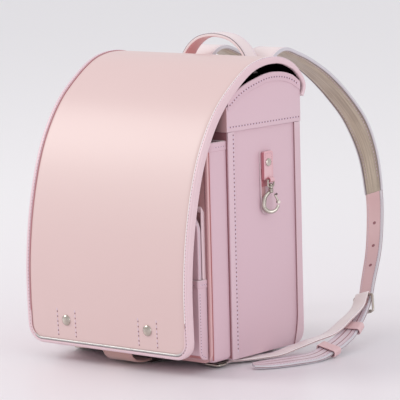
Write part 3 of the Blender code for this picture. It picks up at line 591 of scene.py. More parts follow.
def paintFaces(piece, finish, chosen):
    # faces that chosen(centre in mm, normal) accepts take this finish
    piece.data.materials.append(paint[finish].material)
    index = len(piece.data.materials) - 1
    for face in piece.data.polygons:
        if chosen(face.center / mm, face.normal):
            face.material_index = index


def done(piece, finish, slot, replaces=(), body="root", angle=35):
    # the finish is for a piece that has none yet
    if not piece.data.materials:
        coat(piece, finish)
    pick(piece)
    bpy.ops.object.shade_smooth_by_angle(angle=math.radians(angle))
    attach(piece, body)
    if replaces:
        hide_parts(*replaces)


def scatter(piece, turns):
    # the piece's own mesh, copied to each of these places
    whole = bmesh.new()
    for turn in turns:
        copied = piece.data.copy()
        copied.transform(turn)
        whole.from_mesh(copied)
        bpy.data.meshes.remove(copied)
    whole.to_mesh(piece.data)
    whole.free()


def stitches(name, marks, length, width, height, finish="thread", body="root", hole=0.0):
    # one stitch, copied to each mark of (point, along, normal)
    deselect()
    bpy.ops.mesh.primitive_uv_sphere_add(segments=8, ring_count=5, radius=0.5)
    row = bpy.context.object
    row.name = row.data.name = name
    row.data.transform(Matrix.Rotation(math.radians(90), 4, "Y"))
    row.data.transform(Matrix.Diagonal((length * mm, width * mm, height * mm, 1)))
    turns = []
    for point, along, normal in marks:
        along = Vector(along).normalized()
        normal = Vector(normal).normalized()
        side = normal.cross(along).normalized()
        turn = Matrix((along, side, normal)).transposed().to_4x4()
        turn.translation = Vector(point) * mm
        turns.append(turn)
    scatter(row, turns)
    if hole:
        needleHoles(f"{name}_holes", marks, length, hole, body)
    done(row, finish, "trim_leather", body=body, angle=80)


def needleHoles(name, marks, length, size, body):
    # painted shade: dark pricks where a seam's thread goes down into its needle holes
    deselect()
    bpy.ops.mesh.primitive_uv_sphere_add(segments=7, ring_count=4, radius=0.5)
    pricks = bpy.context.object
    pricks.name = pricks.data.name = name
    pricks.data.transform(Matrix.Diagonal((size * 1.25 * mm, size * mm, size * 0.5 * mm, 1)))
    turns = []
    for point, along, normal in marks:
        along = Vector(along).normalized()
        normal = Vector(normal).normalized()
        turn = Matrix((along, normal.cross(along), normal)).transposed().to_4x4()
        turn.translation = (Vector(point) + along * (length * 0.5 + size * 0.4)) * mm
        turns.append(turn)
    scatter(pricks, turns)
    done(pricks, "prick", "trim_leather", body=body, angle=80)


def mirrorStitches(name, marks, length, width, height, hole=0.0):
    stitches(f"{name}_right", marks, length, width, height, hole=hole)
    flip = Vector((-1, 1, 1))
    mirrored = []
    for point, along, normal in marks:
        mirrored.append((Vector(point) * flip, -(Vector(along) * flip), Vector(normal) * flip))
    stitches(f"{name}_left", mirrored, length, width, height, hole=hole)


def seam(points, pitch, normal, lift=0.0):
    # marks along a line; the normal is one vector or a function of the point
    line = evenly(points, pitch)
    marks = []
    for a, b in zip(line, line[1:]):
        middle = (a + b) / 2
        up = Vector(normal(middle)) if callable(normal) else Vector(normal)
        marks.append((middle + up.normalized() * lift, b - a, up))
    return marks


# ---- flap

flapShape = {
    "back": 28.8,
    "depth": 229.0,
    "bottom": 19.0,
    "rise": 335.9,
    "halfFace": 119.0,
    "corner": 16.0,
    "faceBottom": 25.4,
    "thickness": 2.6,
    "paintedShadeAbove": 262.0,
    # the outer face from its back end to its lower edge, as shares of depth and rise
    "profile": (
        (0.020, 0.850), (0.001, 0.877), (0.006, 0.904), (0.045, 0.940), (0.105, 0.972), (0.190, 0.994),
        (0.283, 1.000), (0.375, 0.994), (0.464, 0.975), (0.570, 0.932), (0.695, 0.864), (0.790, 0.785),
        (0.870, 0.686), (0.930, 0.567), (0.974, 0.430), (0.998, 0.285), (1.000, 0.160), (0.991, 0.000),
    ),
}


class FlapLine:
    # the flap's outer line by its length from the back end, with its tangent and its way inwards
    def __init__(self):
        shape = flapShape
        rows = []
        for out, up in shape["profile"]:
            rows.append((shape["back"] - out * shape["depth"], shape["bottom"] + up * shape["rise"]))
        self.points = evenly(smoothed(rows, 10), 1.0)
        self.step = sum((b - a).length for a, b in zip(self.points, self.points[1:])) / (len(self.points) - 1)
        self.length = self.step * (len(self.points) - 1)

    def at(self, s):
        s = max(0.0, min(self.length, s)) / self.step
        i = min(int(s), len(self.points) - 2)
        point = self.points[i].lerp(self.points[i + 1], s - i)
        a, b = max(0, i - 3), min(len(self.points) - 1, i + 4)
        along = (self.points[b] - self.points[a]).normalized()
        return Vector((0, *point)), Vector((0, *along)), Vector((0, -along.y, along.x))

    def downTo(self, z):
        # the length at which the front of the flap is this high
        i = max(k for k, point in enumerate(self.points) if point.y >= z)
        return i * self.step


def makeFlap():
    line = FlapLine()
    end = line.downTo(flapShape["faceBottom"])
    corner = flapShape["corner"]
    # even rows, then closer ones round the lower corners
    marks = [end * k / 120 for k in range(109)]
    rest = end - marks[-1]
    marks += [marks[-1] + rest * math.sin(math.radians(90 * k / 26)) for k in range(1, 27)]
    columns = [-1 + 2 * k / 48 for k in range(49)]
    columns = sorted({*columns, -0.995, -0.985, 0.985, 0.995})
    rows = []
    for s in marks:
        left = max(0.0, corner - (end - s))
        half = flapShape["halfFace"] - (corner - math.sqrt(max(0.0, corner**2 - left**2)))
        point, along, inwards = line.at(s)
        row = []
        for c in columns:
            near = min(half * (1 - abs(c)), end - s)
            sink = 0.9 * max(0.0, 1 - near / 3.0) ** 2
            row.append(point + Vector((c * half, 0, 0)) + inwards * sink)
        rows.append(row)
    flap = gridPiece("flapFace", rows)
    coat(flap, "flap", "inner", "edge", "dark")
    pick(flap)
    bpy.ops.object.mode_set(mode="EDIT")
    bpy.ops.mesh.select_all(action="SELECT")
    bpy.ops.mesh.normals_make_consistent(inside=False)
    bpy.ops.object.mode_set(mode="OBJECT")
    # an open sheet may be turned either way, and its front has to face forwards
    front = max(flap.data.polygons, key=lambda face: -face.center.y)
    if front.normal.y > 0:
        flap.data.flip_normals()
    wall = flap.modifiers.new("wall", "SOLIDIFY")
    wall.thickness = flapShape["thickness"] * mm
    wall.offset = -1
    wall.material_offset = 1
    wall.material_offset_rim = 2
    bpy.ops.object.modifier_apply(modifier=wall.name)
    # painted shade: the back of the flap above this height takes the near black finish
    for face in flap.data.polygons:
        if face.material_index == 1 and face.center.z > flapShape["paintedShadeAbove"] * mm:
            face.material_index = 3
    done(flap, "flap", "pink_leather", ["flap"], angle=50)
    makeHem(line)
    makeTape(line)
    makeFlapRivets(line)


hemShape = {
    "past": 0.7,
    "stitchLine": (1.35, -0.35),
    "ribLine": (3.5, -0.32),
    "rightCord": {"across": 0.55, "depth": -0.15, "radius": 0.75},
    "leftCrease": {"across": -1.0, "depth": -0.1, "radius": 0.5},
    "tape": {"across": -0.2, "depth": -0.35, "radius": 1.15, "high": 0.95, "sides": 12},
    "tapeShade": {"across": 1.25, "depth": -0.25, "radius": 0.6},
    "tapeBelow": 60.0,
    "highlightAbove": 62.0,
}


def hemDepth(share):
    # how deep the hem wraps, from the flap's back end to its lower edge
    if share < 0.1:
        return 4.5 + 20.0 * share
    return 6.5 + 3.0 * min(1.0, 1.6 * share)


def hemPath(line):
    # round the flap as (x, length down the flap, way out in x, way out along the flap)
    low = line.downTo(flapShape["faceBottom"])
    half, corner = flapShape["halfFace"] + hemShape["past"], flapShape["corner"]
    path = [(half, s, 1, 0) for s in [(low - corner) * k / 150 for k in range(150)]]
    for k in range(13):
        turn = math.radians(90 * k / 12)
        outX, outS = math.cos(turn), math.sin(turn)
        path.append((half - corner + corner * outX, low - corner + corner * outS, outX, outS))
    path += [((half - corner) * (1 - k / 30), low, 0, 1) for k in range(1, 31)]
    return path + [(-x, s, -outX, outS) for x, s, outX, outS in path[-2::-1]]


def hemPoint(line, x, s, outX, outS, across, depth):
    point, along, inwards = line.at(s)
    out = Vector((outX, 0, 0)) + along * outS
    return point + Vector((x, 0, 0)) + out * across + inwards * depth


def makeHem(line):
    steps = hemPath(line)
    rows = []
    for step in steps:
        d = hemDepth(step[1] / line.length)
        outline = [
            (0.15, 1.4), (0.30, 0.5), (0.80, -0.05), (1.8, -0.35), (3.2, -0.45), (4.5, -0.15), (5.3, 0.45),
            (5.8, 1.3), (6.0, 2.4), (6.0, d * 0.55), (6.0, d - 1.5), (5.75, d - 0.6), (5.1, d), (3.0, d),
            (1.2, d), (0.6, d - 0.6), (0.4, d * 0.6),
        ]
        rows.append([hemPoint(line, *step, u, v) for u, v in [*outline, outline[0]]])
    hem = gridPiece("flapHem", rows, tube=True, capped=True)
    done(hem, "hem", "trim_leather", ["flap_hem"], angle=50)

    across, depth = hemShape["stitchLine"]
    lifted = evenly([hemPoint(line, *step, across, -5.0) for step in steps], 1.0)

    def hemMarks(across, depth, first, pitch):
        # (point, way along, way out) down the hem, at this place across it
        fine = evenly([hemPoint(line, *step, across, depth) for step in steps], 1.0)
        marks = []
        for k in range(first, len(fine) - first, pitch):
            share = k / (len(fine) - 1)
            above = lifted[min(len(lifted) - 1, round(share * (len(lifted) - 1)))]
            marks.append((fine[k], fine[k + 1] - fine[k - 1], above - fine[k]))
        return marks

    stitches("flapHemStitches", hemMarks(across, depth, 6, 4), 2.6, 0.8, 0.7, "thread", hole=1.1)
    ribs = [(point, along.cross(up), up) for point, along, up in hemMarks(*hemShape["ribLine"], 4, 3)]
    stitches("flapHemRibs", ribs, 2.6, 1.0, 0.5, "thread")
    # painted highlight: a pale ivory line along the upper right hem only
    upper = [step for step in steps if step[0] > 0 and step[1] < line.downTo(hemShape["highlightAbove"])]
    hemHighlight = hemCord(line, "flapHemHighlight", upper, **hemShape["rightCord"])
    done(hemHighlight, "ivory", "trim_leather", angle=60)
    # painted shade: a dark red line in the crease along the left hem only
    end = line.downTo(flapShape["faceBottom"]) - 3
    far = [step for step in steps if step[0] < -60 and step[1] < end]
    crease = hemCord(line, "flapHemCreaseShade", far, **hemShape["leftCrease"])
    done(crease, "redEdge", "trim_leather", angle=60)


def hemCord(line, name, steps, across, depth, radius, high=None, sides=8):
    # a thin cord along part of the flap's edge, round unless its height is given
    high = radius if high is None else high
    turns = [2 * math.pi * k / sides for k in range(sides)]
    rows = []
    for step in steps:
        ring = [
            hemPoint(line, *step, across + radius * math.cos(t), depth + high * math.sin(t)) for t in turns
        ]
        rows.append([*ring, ring[0]])
    return gridPiece(name, rows, tube=True, capped=True)


def makeTape(line):
    # the reflective cord in the groove along the flap's lower edge, with its shade
    path = [step for step in hemPath(line) if step[1] > line.downTo(hemShape["tapeBelow"])]
    tape = hemCord(line, "reflectiveCord", path, **hemShape["tape"])
    done(tape, "tape", "silver_piping", ["reflective_piping"], angle=60)
    lower = [step for step in path if abs(step[0]) < 112]
    done(hemCord(line, "cordShade", lower, **hemShape["tapeShade"]), "greyEdge", "trim_leather", angle=60)


rivetShape = {
    "out": 63.0,
    "height": 50.4,
    # radius, height
    "head": (
        (0.0, -0.3), (6.2, -0.3), (6.5, 0.1), (6.45, 0.6), (6.1, 1.05), (5.6, 1.45), (4.6, 2.0),
        (3.2, 2.45), (1.6, 2.72), (0.0, 2.8),
    ),
    "seamOut": 14.0,
    "seamTop": 62.0,
    "seamPitch": 5.6,
}


def makeFlapRivets(line):
    shape = rivetShape
    point, along, inwards = line.at(line.downTo(shape["height"]))
    for side, name in ((1, "right"), (-1, "left")):
        base = point + Vector((side * shape["out"], 0, 0))
        head = turned(f"flapRivet_{name}", shape["head"], base, -inwards)
        done(head, "nickel", "nickel", [f"flap_rivet_{name}"])
        marks = []
        for column in (-shape["seamOut"], shape["seamOut"]):
            for k in range(6):
                spot, down, inner = line.at(line.downTo(shape["seamTop"] - shape["seamPitch"] * k))
                across = Vector((side * shape["out"] + column, 0, 0))
                marks.append((spot + across, down + Vector((0.18, 0, 0)), -inner))
        stitches(f"rivetStitches_{name}", marks, 3.6, 1.2, 1.0, "thread", hole=1.7)


# ---- body, sides and front compartments

bodyShape = {
    "half": 120.8,
    "front": -117.3,
    "back": 18.7,
    "sideTop": 300.0,
    "rise": 37.0,
    # arch of the side's top edge from back to front, as shares of the depth and the rise
    "bandArch": (
        (0.005, 0.60), (0.10, 0.82), (0.22, 0.95), (0.35, 1.00), (0.47, 0.98), (0.60, 0.88), (0.74, 0.74),
        (0.87, 0.54), (0.985, 0.26),
    ),
}


def capArch():
    shape = bodyShape
    front, back = shape["front"] - 2.3, shape["back"] + 1.0
    rows = []
    for share, up in shape["bandArch"]:
        rows.append((back - share * (back - front), shape["sideTop"] + up * shape["rise"]))
    return smoothed(rows, 8)


def makeBody():
    shape = bodyShape
    body = copyOf("main_body", "mainBody", 0.8)
    coat(body, "side")

    def inside(centre, normal):
        across = abs(centre.x) < shape["half"] - 1.5
        return across and shape["front"] + 1.5 < centre.y < shape["back"] - 1.5 and centre.z > 9.6

    # painted shade: the inside of the body near black
    paintFaces(body, "dark", inside)
    # painted shade: the body's front face, under the flap, in dark edge paint
    paintFaces(body, "edge", lambda c, n: n.y < -0.8 and c.y < shape["front"] + 1)
    done(body, "side", "side_leather", ["main_body"])


def bandFall(arch, i):
    # the way down from the arch, square to it but upright at both ends
    along = (arch[min(i + 1, len(arch) - 1)] - arch[max(i - 1, 0)]).normalized()
    fall = Vector((-along.y, along.x))
    fall = fall if fall.y < 0 else -fall
    fall.x *= min(1.0, i / 5, (len(arch) - 1 - i) / 5)
    return fall.normalized()


capShape = {
    "face": 123.1,
    "backRise": 6.0,
    "backRiseOver": 24.0,
    # drop from the arch, way out
    "band": (
        (10.0, 0.1), (9.95, 0.6), (9.4, 0.95), (7.5, 1.05), (4.5, 1.1), (1.5, 1.05), (0.2, 0.85),
        (-0.6, 0.2), (-0.8, -0.8), (-0.5, -1.8), (0.1, -2.1), (0.2, -1.0), (0.3, 0.0),
    ),
    "bandSeam": 5.2,
    "lowSeam": 280.5,
    "hemSeam": {"x": 122.7, "y": -107.8, "low": 16, "high": 271},
}


def makeSides():
    shape = capShape
    cap = copyOf("side_cap_right", "sideCap_right", 0.6)
    coat(cap, "side")
    # the cap's rear end is raised to the photographed arch
    for vertex in cap.data.vertices:
        y, z = vertex.co.y / mm, vertex.co.z / mm
        lift = (y - bodyShape["back"] + shape["backRiseOver"]) / shape["backRiseOver"]
        if z > bodyShape["sideTop"] + 6:
            vertex.co.z += shape["backRise"] * min(1.0, max(0.0, lift)) ** 1.5 * mm
    # painted shade: the cap's front faces in dark red, its inner faces near black
    paintFaces(cap, "redShade", lambda c, n: n.y < -0.8)
    paintFaces(cap, "dark", lambda c, n: n.x < -0.8)
    bothSides(cap, "side", "side_leather", "side_cap", angle=35)

    # folded band along the arch
    arch = evenly(capArch(), 3.0)
    outline = [*shape["band"], shape["band"][0]]
    rows = []
    lower = []
    for i, point in enumerate(arch):
        fall = bandFall(arch, i)
        down = Vector((0, fall.x, fall.y))
        rows.append([Vector((shape["face"] + out, *point)) + down * drop for drop, out in outline])
        spot = point + fall * shape["bandSeam"]
        lower.append(Vector((shape["face"] + 1.1, *spot)))
    trim = gridPiece("capBand_right", rows, tube=True, capped=True)
    bothSides(trim, "side", "side_leather", angle=35)

    marks = seam(lower[1:-1], 5.0, (1, 0, 0))
    ends = (bodyShape["front"] - 1, bodyShape["back"] - 2.5)
    marks += seam([Vector((shape["face"], y, shape["lowSeam"])) for y in ends], 5.4, (1, 0, 0))
    row = shape["hemSeam"]
    marks += seam([Vector((row["x"], row["y"], z)) for z in (row["low"], row["high"])], 5.0, (1, 0, 0))
    mirrorStitches("sideStitches", marks, 3.2, 1.2, 1.0, hole=1.9)

    bothSides(copyOf("side_hem_right", "sideHem_right", 0.45), "side", "trim_leather", "side_hem", angle=35)
    makeBinding()


bindingShape = {
    "inner": 121.0,
    "outer": 122.9,
    "front": 7.7,
    "back": 18.7,
    "low": 8.2,
    "high": 274.7,
    "corner": 18.0,
    "turnBelow": 50.0,
    "turnReach": 7.5,
}


def makeBinding():
    # the strip down the rear edge, which runs forwards at the bottom round the corner
    shape = bindingShape
    bend = shape["turnBelow"]
    levels = [shape["low"] + 42 * (k / 20) ** 1.4 for k in range(21)]
    levels += [bend + (shape["high"] - bend) * k / 30 for k in range(1, 31)]
    rows = []
    for z in levels:
        front = shape["front"] - shape["turnReach"] * (max(0.0, bend - z) / 42) ** 2
        drop = max(0.0, 8.0 + shape["corner"] - z)
        back = shape["back"] - shape["corner"] + math.sqrt(max(0.0, shape["corner"] ** 2 - drop**2))
        back = max(back, front + 1.0)
        outline = [
            (shape["inner"], front), (shape["outer"] - 0.3, front), (shape["outer"], front + 0.3),
            (shape["outer"], back - 0.5), (shape["outer"] - 0.4, back), (shape["inner"], back),
        ]
        rows.append([Vector((x, y, z)) for x, y in [*outline, outline[0]]])
    strip = gridPiece("sideBinding_right", rows, tube=True, capped=True)
    coat(strip, "binding")
    paintFaces(strip, "edge", lambda c, n: n.y < -0.6 and n.x < 0.6)
    bothSides(strip, "binding", "trim_leather", "side_binding", angle=35)


def tub(name, halfX, front, back, low, high, radius, bulge, wall=2.0, foot=1.2):
    # open-topped compartment with soft sides, from its underside up and down again inside
    straightSteps = {7: 5, 11: 40, 15: 5, 23: 40}  # side, back, side and front of the outline

    def outline(inset, swell):
        r = max(1.0, radius - inset)
        x, f, b = halfX - inset, front + inset, back - inset
        points = arc((x - r, f + r), r, 270, 360, 7) + arc((x - 1.0, b - 1.0), 1.0, 0, 90, 3)
        points += arc((1.0 - x, b - 1.0), 1.0, 90, 180, 3) + arc((r - x, f + r), r, 180, 270, 7)
        ring = []
        for number, (here, ahead) in enumerate(zip(points, points[1:] + points[:1])):
            count = straightSteps.get(number, 1)
            ring += [Vector(here).lerp(Vector(ahead), k / count) for k in range(count)]
        middle = (f + b) / 2
        for point in ring:
            share = 1 - abs(point.y - middle) / ((b - f) / 2)
            if abs(point.x) > x - r - 1:
                point.x += math.copysign(swell * math.sqrt(max(0.0, share)), point.x)
        return ring

    # (inset, height) round the foot, up the wall, over the rim and down inside
    rows = []
    for k in range(7):
        turn = math.radians(15 * k)
        rows.append((foot * (1 - math.sin(turn)), low + foot * (1 - math.cos(turn))))
    count = 24
    rows += [(0.0, low + foot + (high - 1.2 - foot - low) * k / count) for k in range(1, count + 1)]
    rows += [(0.3, high - 0.4), (0.9, high), (wall - 0.6, high), (wall - 0.1, high - 0.5)]
    depth = (high - low) - wall - 1
    rows += [(wall, high - 1.2 - depth * k / 6) for k in range(7)]
    grown = []
    for inset, z in rows:
        share = (z - low) / (high - low)
        swell = bulge * math.sin(math.pi * share) ** 0.35 if 0 < share < 1 else 0.0
        ring = outline(inset, swell)
        grown.append([Vector((p.x, p.y, z)) for p in [*ring, ring[0]]])
    return gridPiece(name, grown, tube=True, capped=True)


frontShape = {
    "small": {
        "halfX": 119.2, "front": -149.0, "back": -117.6, "low": 9.0, "high": 265.0,
        "radius": 8.0, "bulge": 0.7, "foot": 6.0,
    },
    "smallHem": {
        "halfX": 119.7, "front": -149.6, "back": -117.5, "low": 254.6, "high": 265.6,
        "radius": 8.4, "bulge": 0.7, "wall": 2.8,
    },
    "pocketHem": {
        "halfX": 116.2, "front": -170.0, "back": -153.4, "low": 99.6, "high": 108.9,
        "radius": 2.4, "bulge": 0.0, "wall": 1.9, "foot": 0.6,
    },
    "boardCrease": {"x": 116.3, "y": -153.25, "low": 12, "high": 262, "radius": 0.75},
    "smallSeam": 259.6,
    "pocketSeam": 103.4,
    "pipingHalf": 112.2,
    "pipingTop": 188.2,
    "pipingLow": 109.1,
    "pipingCorner": 24.2,
    "pipingFront": -163.2,
    "pipingBack": -160.4,
}


def makeFront():
    shape = frontShape
    small = tub("smallCompartment", **shape["small"])
    coat(small, "side")
    paintFaces(small, "inner", lambda c, n: abs(c.x) < 117.6 and -147.2 < c.y < -119.4 and c.z > 11.5)
    # painted shade: the compartment's front face in dark red
    paintFaces(small, "redShade", lambda c, n: n.y < -0.8 and c.y < -148)
    done(small, "side", "side_leather", ["small_compartment"], angle=45)

    # top hem, a strip folded over the rim
    rim = tub("smallHem", **shape["smallHem"])
    coat(rim, "side")
    # painted highlight: the rim's upward faces in cream
    paintFaces(rim, "cream", lambda c, n: n.z > 0.7 and c.z > 264.8)
    done(rim, "side", "trim_leather", angle=45)

    # the board in its salmon edge colour, which on its front face under the flap also stands in for painted
    # shade
    done(copyOf("front_panel", "frontBoard", 1.1, 3), "board", "trim_leather", ["front_panel"])
    edge = shape["boardCrease"]
    for side, name in ((1, "right"), (-1, "left")):
        path = [Vector((side * edge["x"], edge["y"], z)) for z in (edge["low"], edge["high"])]
        crease = wire(f"boardCrease_{name}", evenly(path, 6.0), edge["radius"], (0, 1, 0), sides=8)
        done(crease, "edge", "trim_leather", angle=60)

    pocket = copyOf("front_pocket", "frontPocket", 1.6, 3)
    coat(pocket, "side")
    paintFaces(pocket, "inner", lambda c, n: abs(c.x) < 113.7 and -167.5 < c.y < -155.0 and c.z > 16.9)
    done(pocket, "side", "side_leather", ["front_pocket"])
    lip = tub("pocketHem", **shape["pocketHem"])
    coat(lip, "side")
    # painted highlight: the rim's upward faces in cream
    paintFaces(lip, "cream", lambda c, n: n.z > 0.7 and c.z > 108)
    done(lip, "side", "trim_leather", angle=45)

    marks = []
    low = shape["pocketSeam"]
    for side in (1, -1):
        upper = [(120.3, -141), (120.4, -134), (120.2, -122)]
        marks += seam([Vector((side * x, y, shape["smallSeam"])) for x, y in upper], 4.6, (side, 0, 0))
        marks += seam([Vector((side * 116.2, y, low)) for y in (-166.5, -155.0)], 3.3, (side, 0, 0))
        edge = [(-166.2, 96), (-166.2, 26), *arc((-157.3, 27), 8.9, 180, 262, 6)[1:]]
        marks += seam([Vector((side * 115.5, y, z)) for y, z in edge], 3.6, (side, 0, 0))
    marks += seam([Vector((x, -170.0, low)) for x in (-110, 110)], 3.8, (0, -1, 0))
    stitches("compartmentStitches", marks, 2.4, 0.8, 0.8, "thread", hole=1.1)

    done(copyOf("pocket_gusset", "pocketGusset", 0.9, 2), "hem", "pink_leather", ["pocket_gusset"])
    done(copyOf("pocket_lid", "pocketLid", 1.2, 3), "side", "side_leather", ["pocket_lid"])
    makePocketPiping()


def makePocketPiping():
    # up one side of the upper pocket, over its top and down the other
    shape = frontShape
    half, top = shape["pipingHalf"], shape["pipingTop"]
    radius, low = shape["pipingCorner"], shape["pipingLow"]
    outline = [(half, low + k * (top - radius - low) / 12) for k in range(12)]
    outline += arc((half - radius, top - radius), radius, 0, 90, 12)
    outline += [(half - radius - k * (half - radius) / 12, top) for k in range(1, 13)]
    outline += [(-x, z) for x, z in outline[-2::-1]]
    path = [(x, shape["pipingFront"], z) for x, z in outline]
    done(wire("pocketPiping", path, 1.5, (0, 1, 0)), "pearl", "trim_leather", ["pocket_piping"], angle=60)
    path = [(x - held(x, 0.4), shape["pipingBack"], z - 0.3) for x, z in outline]
    done(wire("pocketPipingBack", path, 1.4, (0, 1, 0)), "side", "trim_leather", angle=60)


backShape = {
    "seamHalf": 112.0,
    "seamLow": 17.0,
    "seamHigh": 285.0,
    "seamFace": 22.0,
    "padFace": 22.2,
    "padHalf": 84.0,
    "padLow": 34.0,
    "padHigh": 284.0,
    "padDepth": 8.0,
    "padCorner": 30.0,
    "padChannels": (-28.0, 28.0),
    "padLevels": (96.0, 159.0, 222.0),
    "hangerRivets": (18.0, 56.0),
    "hangerHeight": 297.0,
    "hangerFace": 31.5,
    "hangerHead": ((0.0, 0.0), (4.2, 0.0), (4.4, 0.4), (4.1, 1.0), (3.0, 1.7), (1.4, 2.1), (0.0, 2.2)),
}


def makeBack():
    shape = backShape
    done(copyOf("back_panel", "backPanel", 1.2, 3), "side", "pink_leather", ["back_panel"])
    half, low, high, y = (shape[key] for key in ("seamHalf", "seamLow", "seamHigh", "seamFace"))
    marks = []
    for x in (half, -half):
        marks += seam([Vector((x, y, low)), Vector((x, y, high))], 4.4, (0, 1, 0))
    marks += seam([Vector((-half + 4, y, low)), Vector((half - 4, y, low))], 4.4, (0, 1, 0))
    stitches("backStitches", marks, 3.0, 0.9, 0.8, "thread")
    makeBackPad()

    done(copyOf("strap_hanger", "strapHanger", 0.8, 3), "nickel", "nickel", ["strap_hanger"])
    for side, name in ((1, "right"), (-1, "left")):
        for out in shape["hangerRivets"]:
            base = (side * out, shape["hangerFace"], shape["hangerHeight"])
            head = turned(f"hangerRivet_{name}_{round(out)}", shape["hangerHead"], base, (0, 1, 0), 28)
            done(head, "nickel", "nickel")


def makeBackPad():
    # quilted pad: crowned, with sewn channels
    shape = backShape
    low, high, corner = shape["padLow"], shape["padHigh"], shape["padCorner"]

    def channel(distance, deep):
        return deep * math.exp(-((distance / 3.2) ** 2))

    rows = []
    for j in range(91):
        z = low + (high - low) * j / 90
        fromEnd = min(z - low, high - z)
        short = max(0.0, corner - fromEnd)
        width = shape["padHalf"] - (corner - math.sqrt(max(0.0, corner**2 - short**2)))
        row = []
        for i in range(65):
            x = (-1 + 2 * i / 64) * width
            rim = min(width - abs(x), fromEnd)
            rise = shape["padDepth"] * (0.30 + 0.70 * min(1.0, rim / 12.0) ** 0.45)
            sewn = sum(channel(x - across, 3.6) for across in shape["padChannels"])
            sewn += sum(channel(z - level, 3.0) for level in shape["padLevels"])
            rise -= sewn * min(1.0, rim / 8.0)
            row.append(Vector((x, shape["padFace"] + max(0.8, rise if rim > 0.01 else 0.8), z)))
        rows.append(row)
    pad = gridPiece("backPad", rows)
    pick(pad)
    bpy.ops.object.mode_set(mode="EDIT")
    bpy.ops.mesh.select_all(action="SELECT")
    bpy.ops.mesh.normals_make_consistent(inside=False)
    bpy.ops.mesh.select_all(action="DESELECT")
    bpy.ops.mesh.select_non_manifold()
    bpy.ops.mesh.extrude_region_move(TRANSFORM_OT_translate={"value": (0, -0.8 * mm, 0)})
    bpy.ops.mesh.fill_holes(sides=0)
    bpy.ops.mesh.select_all(action="SELECT")
    bpy.ops.mesh.normals_make_consistent(inside=False)
    bpy.ops.object.mode_set(mode="OBJECT")
    done(pad, "mesh", "beige_lining", ["back_pad"], angle=50)


# ---- handle

handleShape = {
    "width": 22.0,
    "thickness": 4.5,
    "span": 118.0,
    "foot": 328.0,
    "rise": 46.7,
    "back": 31.6,
    # middle line from its top to one foot, as shares of half the span and of the rise
    "line": (
        (0.00, 0.00), (0.22, 0.03), (0.42, 0.10), (0.60, 0.24), (0.74, 0.42), (0.84, 0.62), (0.93, 0.82),
        (1.00, 1.00),
    ),
    "seamInset": 2.6,
}


def makeHandle():
    shape = handleShape
    half, top = shape["span"] / 2, shape["foot"] + shape["rise"]
    side = [Vector((out * half, top - down * shape["rise"])) for out, down in smoothed(shape["line"], 5)]
    side += [Vector((half + 0.6, shape["foot"] - 4)), Vector((half + 0.8, shape["foot"] - 8))]
    line = evenly([Vector((-point.x, point.y)) for point in side[:0:-1]] + side, 3.0)
    middle = shape["back"] - shape["width"] / 2
    places = []
    for i, point in enumerate(line):
        along = (line[min(i + 1, len(line) - 1)] - line[max(i - 1, 0)]).normalized()
        inwards = Vector((along.y, 0, -along.x))
        inwards = inwards if inwards.z < 0 or abs(point.x) > half * 0.97 else -inwards
        if inwards.x * point.x > 0:
            inwards = -inwards
        places.append((Vector((point.x, middle, point.y)), Vector((0, 1, 0)), inwards))
    deep = shape["thickness"] / 2
    handle = sweep("grabHandle", places, lambda i: band(shape["width"], -deep, deep, 1.1, 3))
    coat(handle, "cream")

    def within(centre, normal):
        facing = normal.x * centre.x < -1e-3 and abs(normal.x) > 0.5
        return abs(normal.y) < 0.8 and (normal.z < -0.1 or facing)

    paintFaces(handle, "coral", within)
    coat(handle, "greyEdge", "dark")
    for index, face in enumerate(handle.data.polygons):
        # a thin painted line along both outer edges, and painted shade on the foot under the flap
        if index % 16 in (1, 2, 12, 13):
            face.material_index = 2
        if face.center.z < 0.338 and face.center.y < 0.012 or face.center.z < 0.331:
            face.material_index = 3
    done(handle, "cream", "pink_leather", ["handle"], angle=50)
    marks = []
    for edge in (-1, 1):
        out = edge * (shape["width"] / 2 - shape["seamInset"])
        for face in (-1, 1):
            path = [middle + across * out + inwards * face * deep for middle, across, inwards in places[3:-3]]
            marks += followed(path, [inwards * face for _, _, inwards in places[3:-3]], 4.2)
    stitches("handleStitches", marks, 3.0, 0.8, 0.7, "thread")


def followed(path, ups, pitch):
    # marks along a path whose facing turns with it
    marks, travelled, due = [], 0.0, pitch / 2
    for i in range(len(path) - 1):
        gap = (path[i + 1] - path[i]).length
        while travelled + gap >= due:
            t = (due - travelled) / gap
            marks.append((path[i].lerp(path[i + 1], t), path[i + 1] - path[i], ups[i].lerp(ups[i + 1], t)))
            due += pitch
        travelled += gap
    return marks


# ---- shoulder straps, belts, buckles and keepers

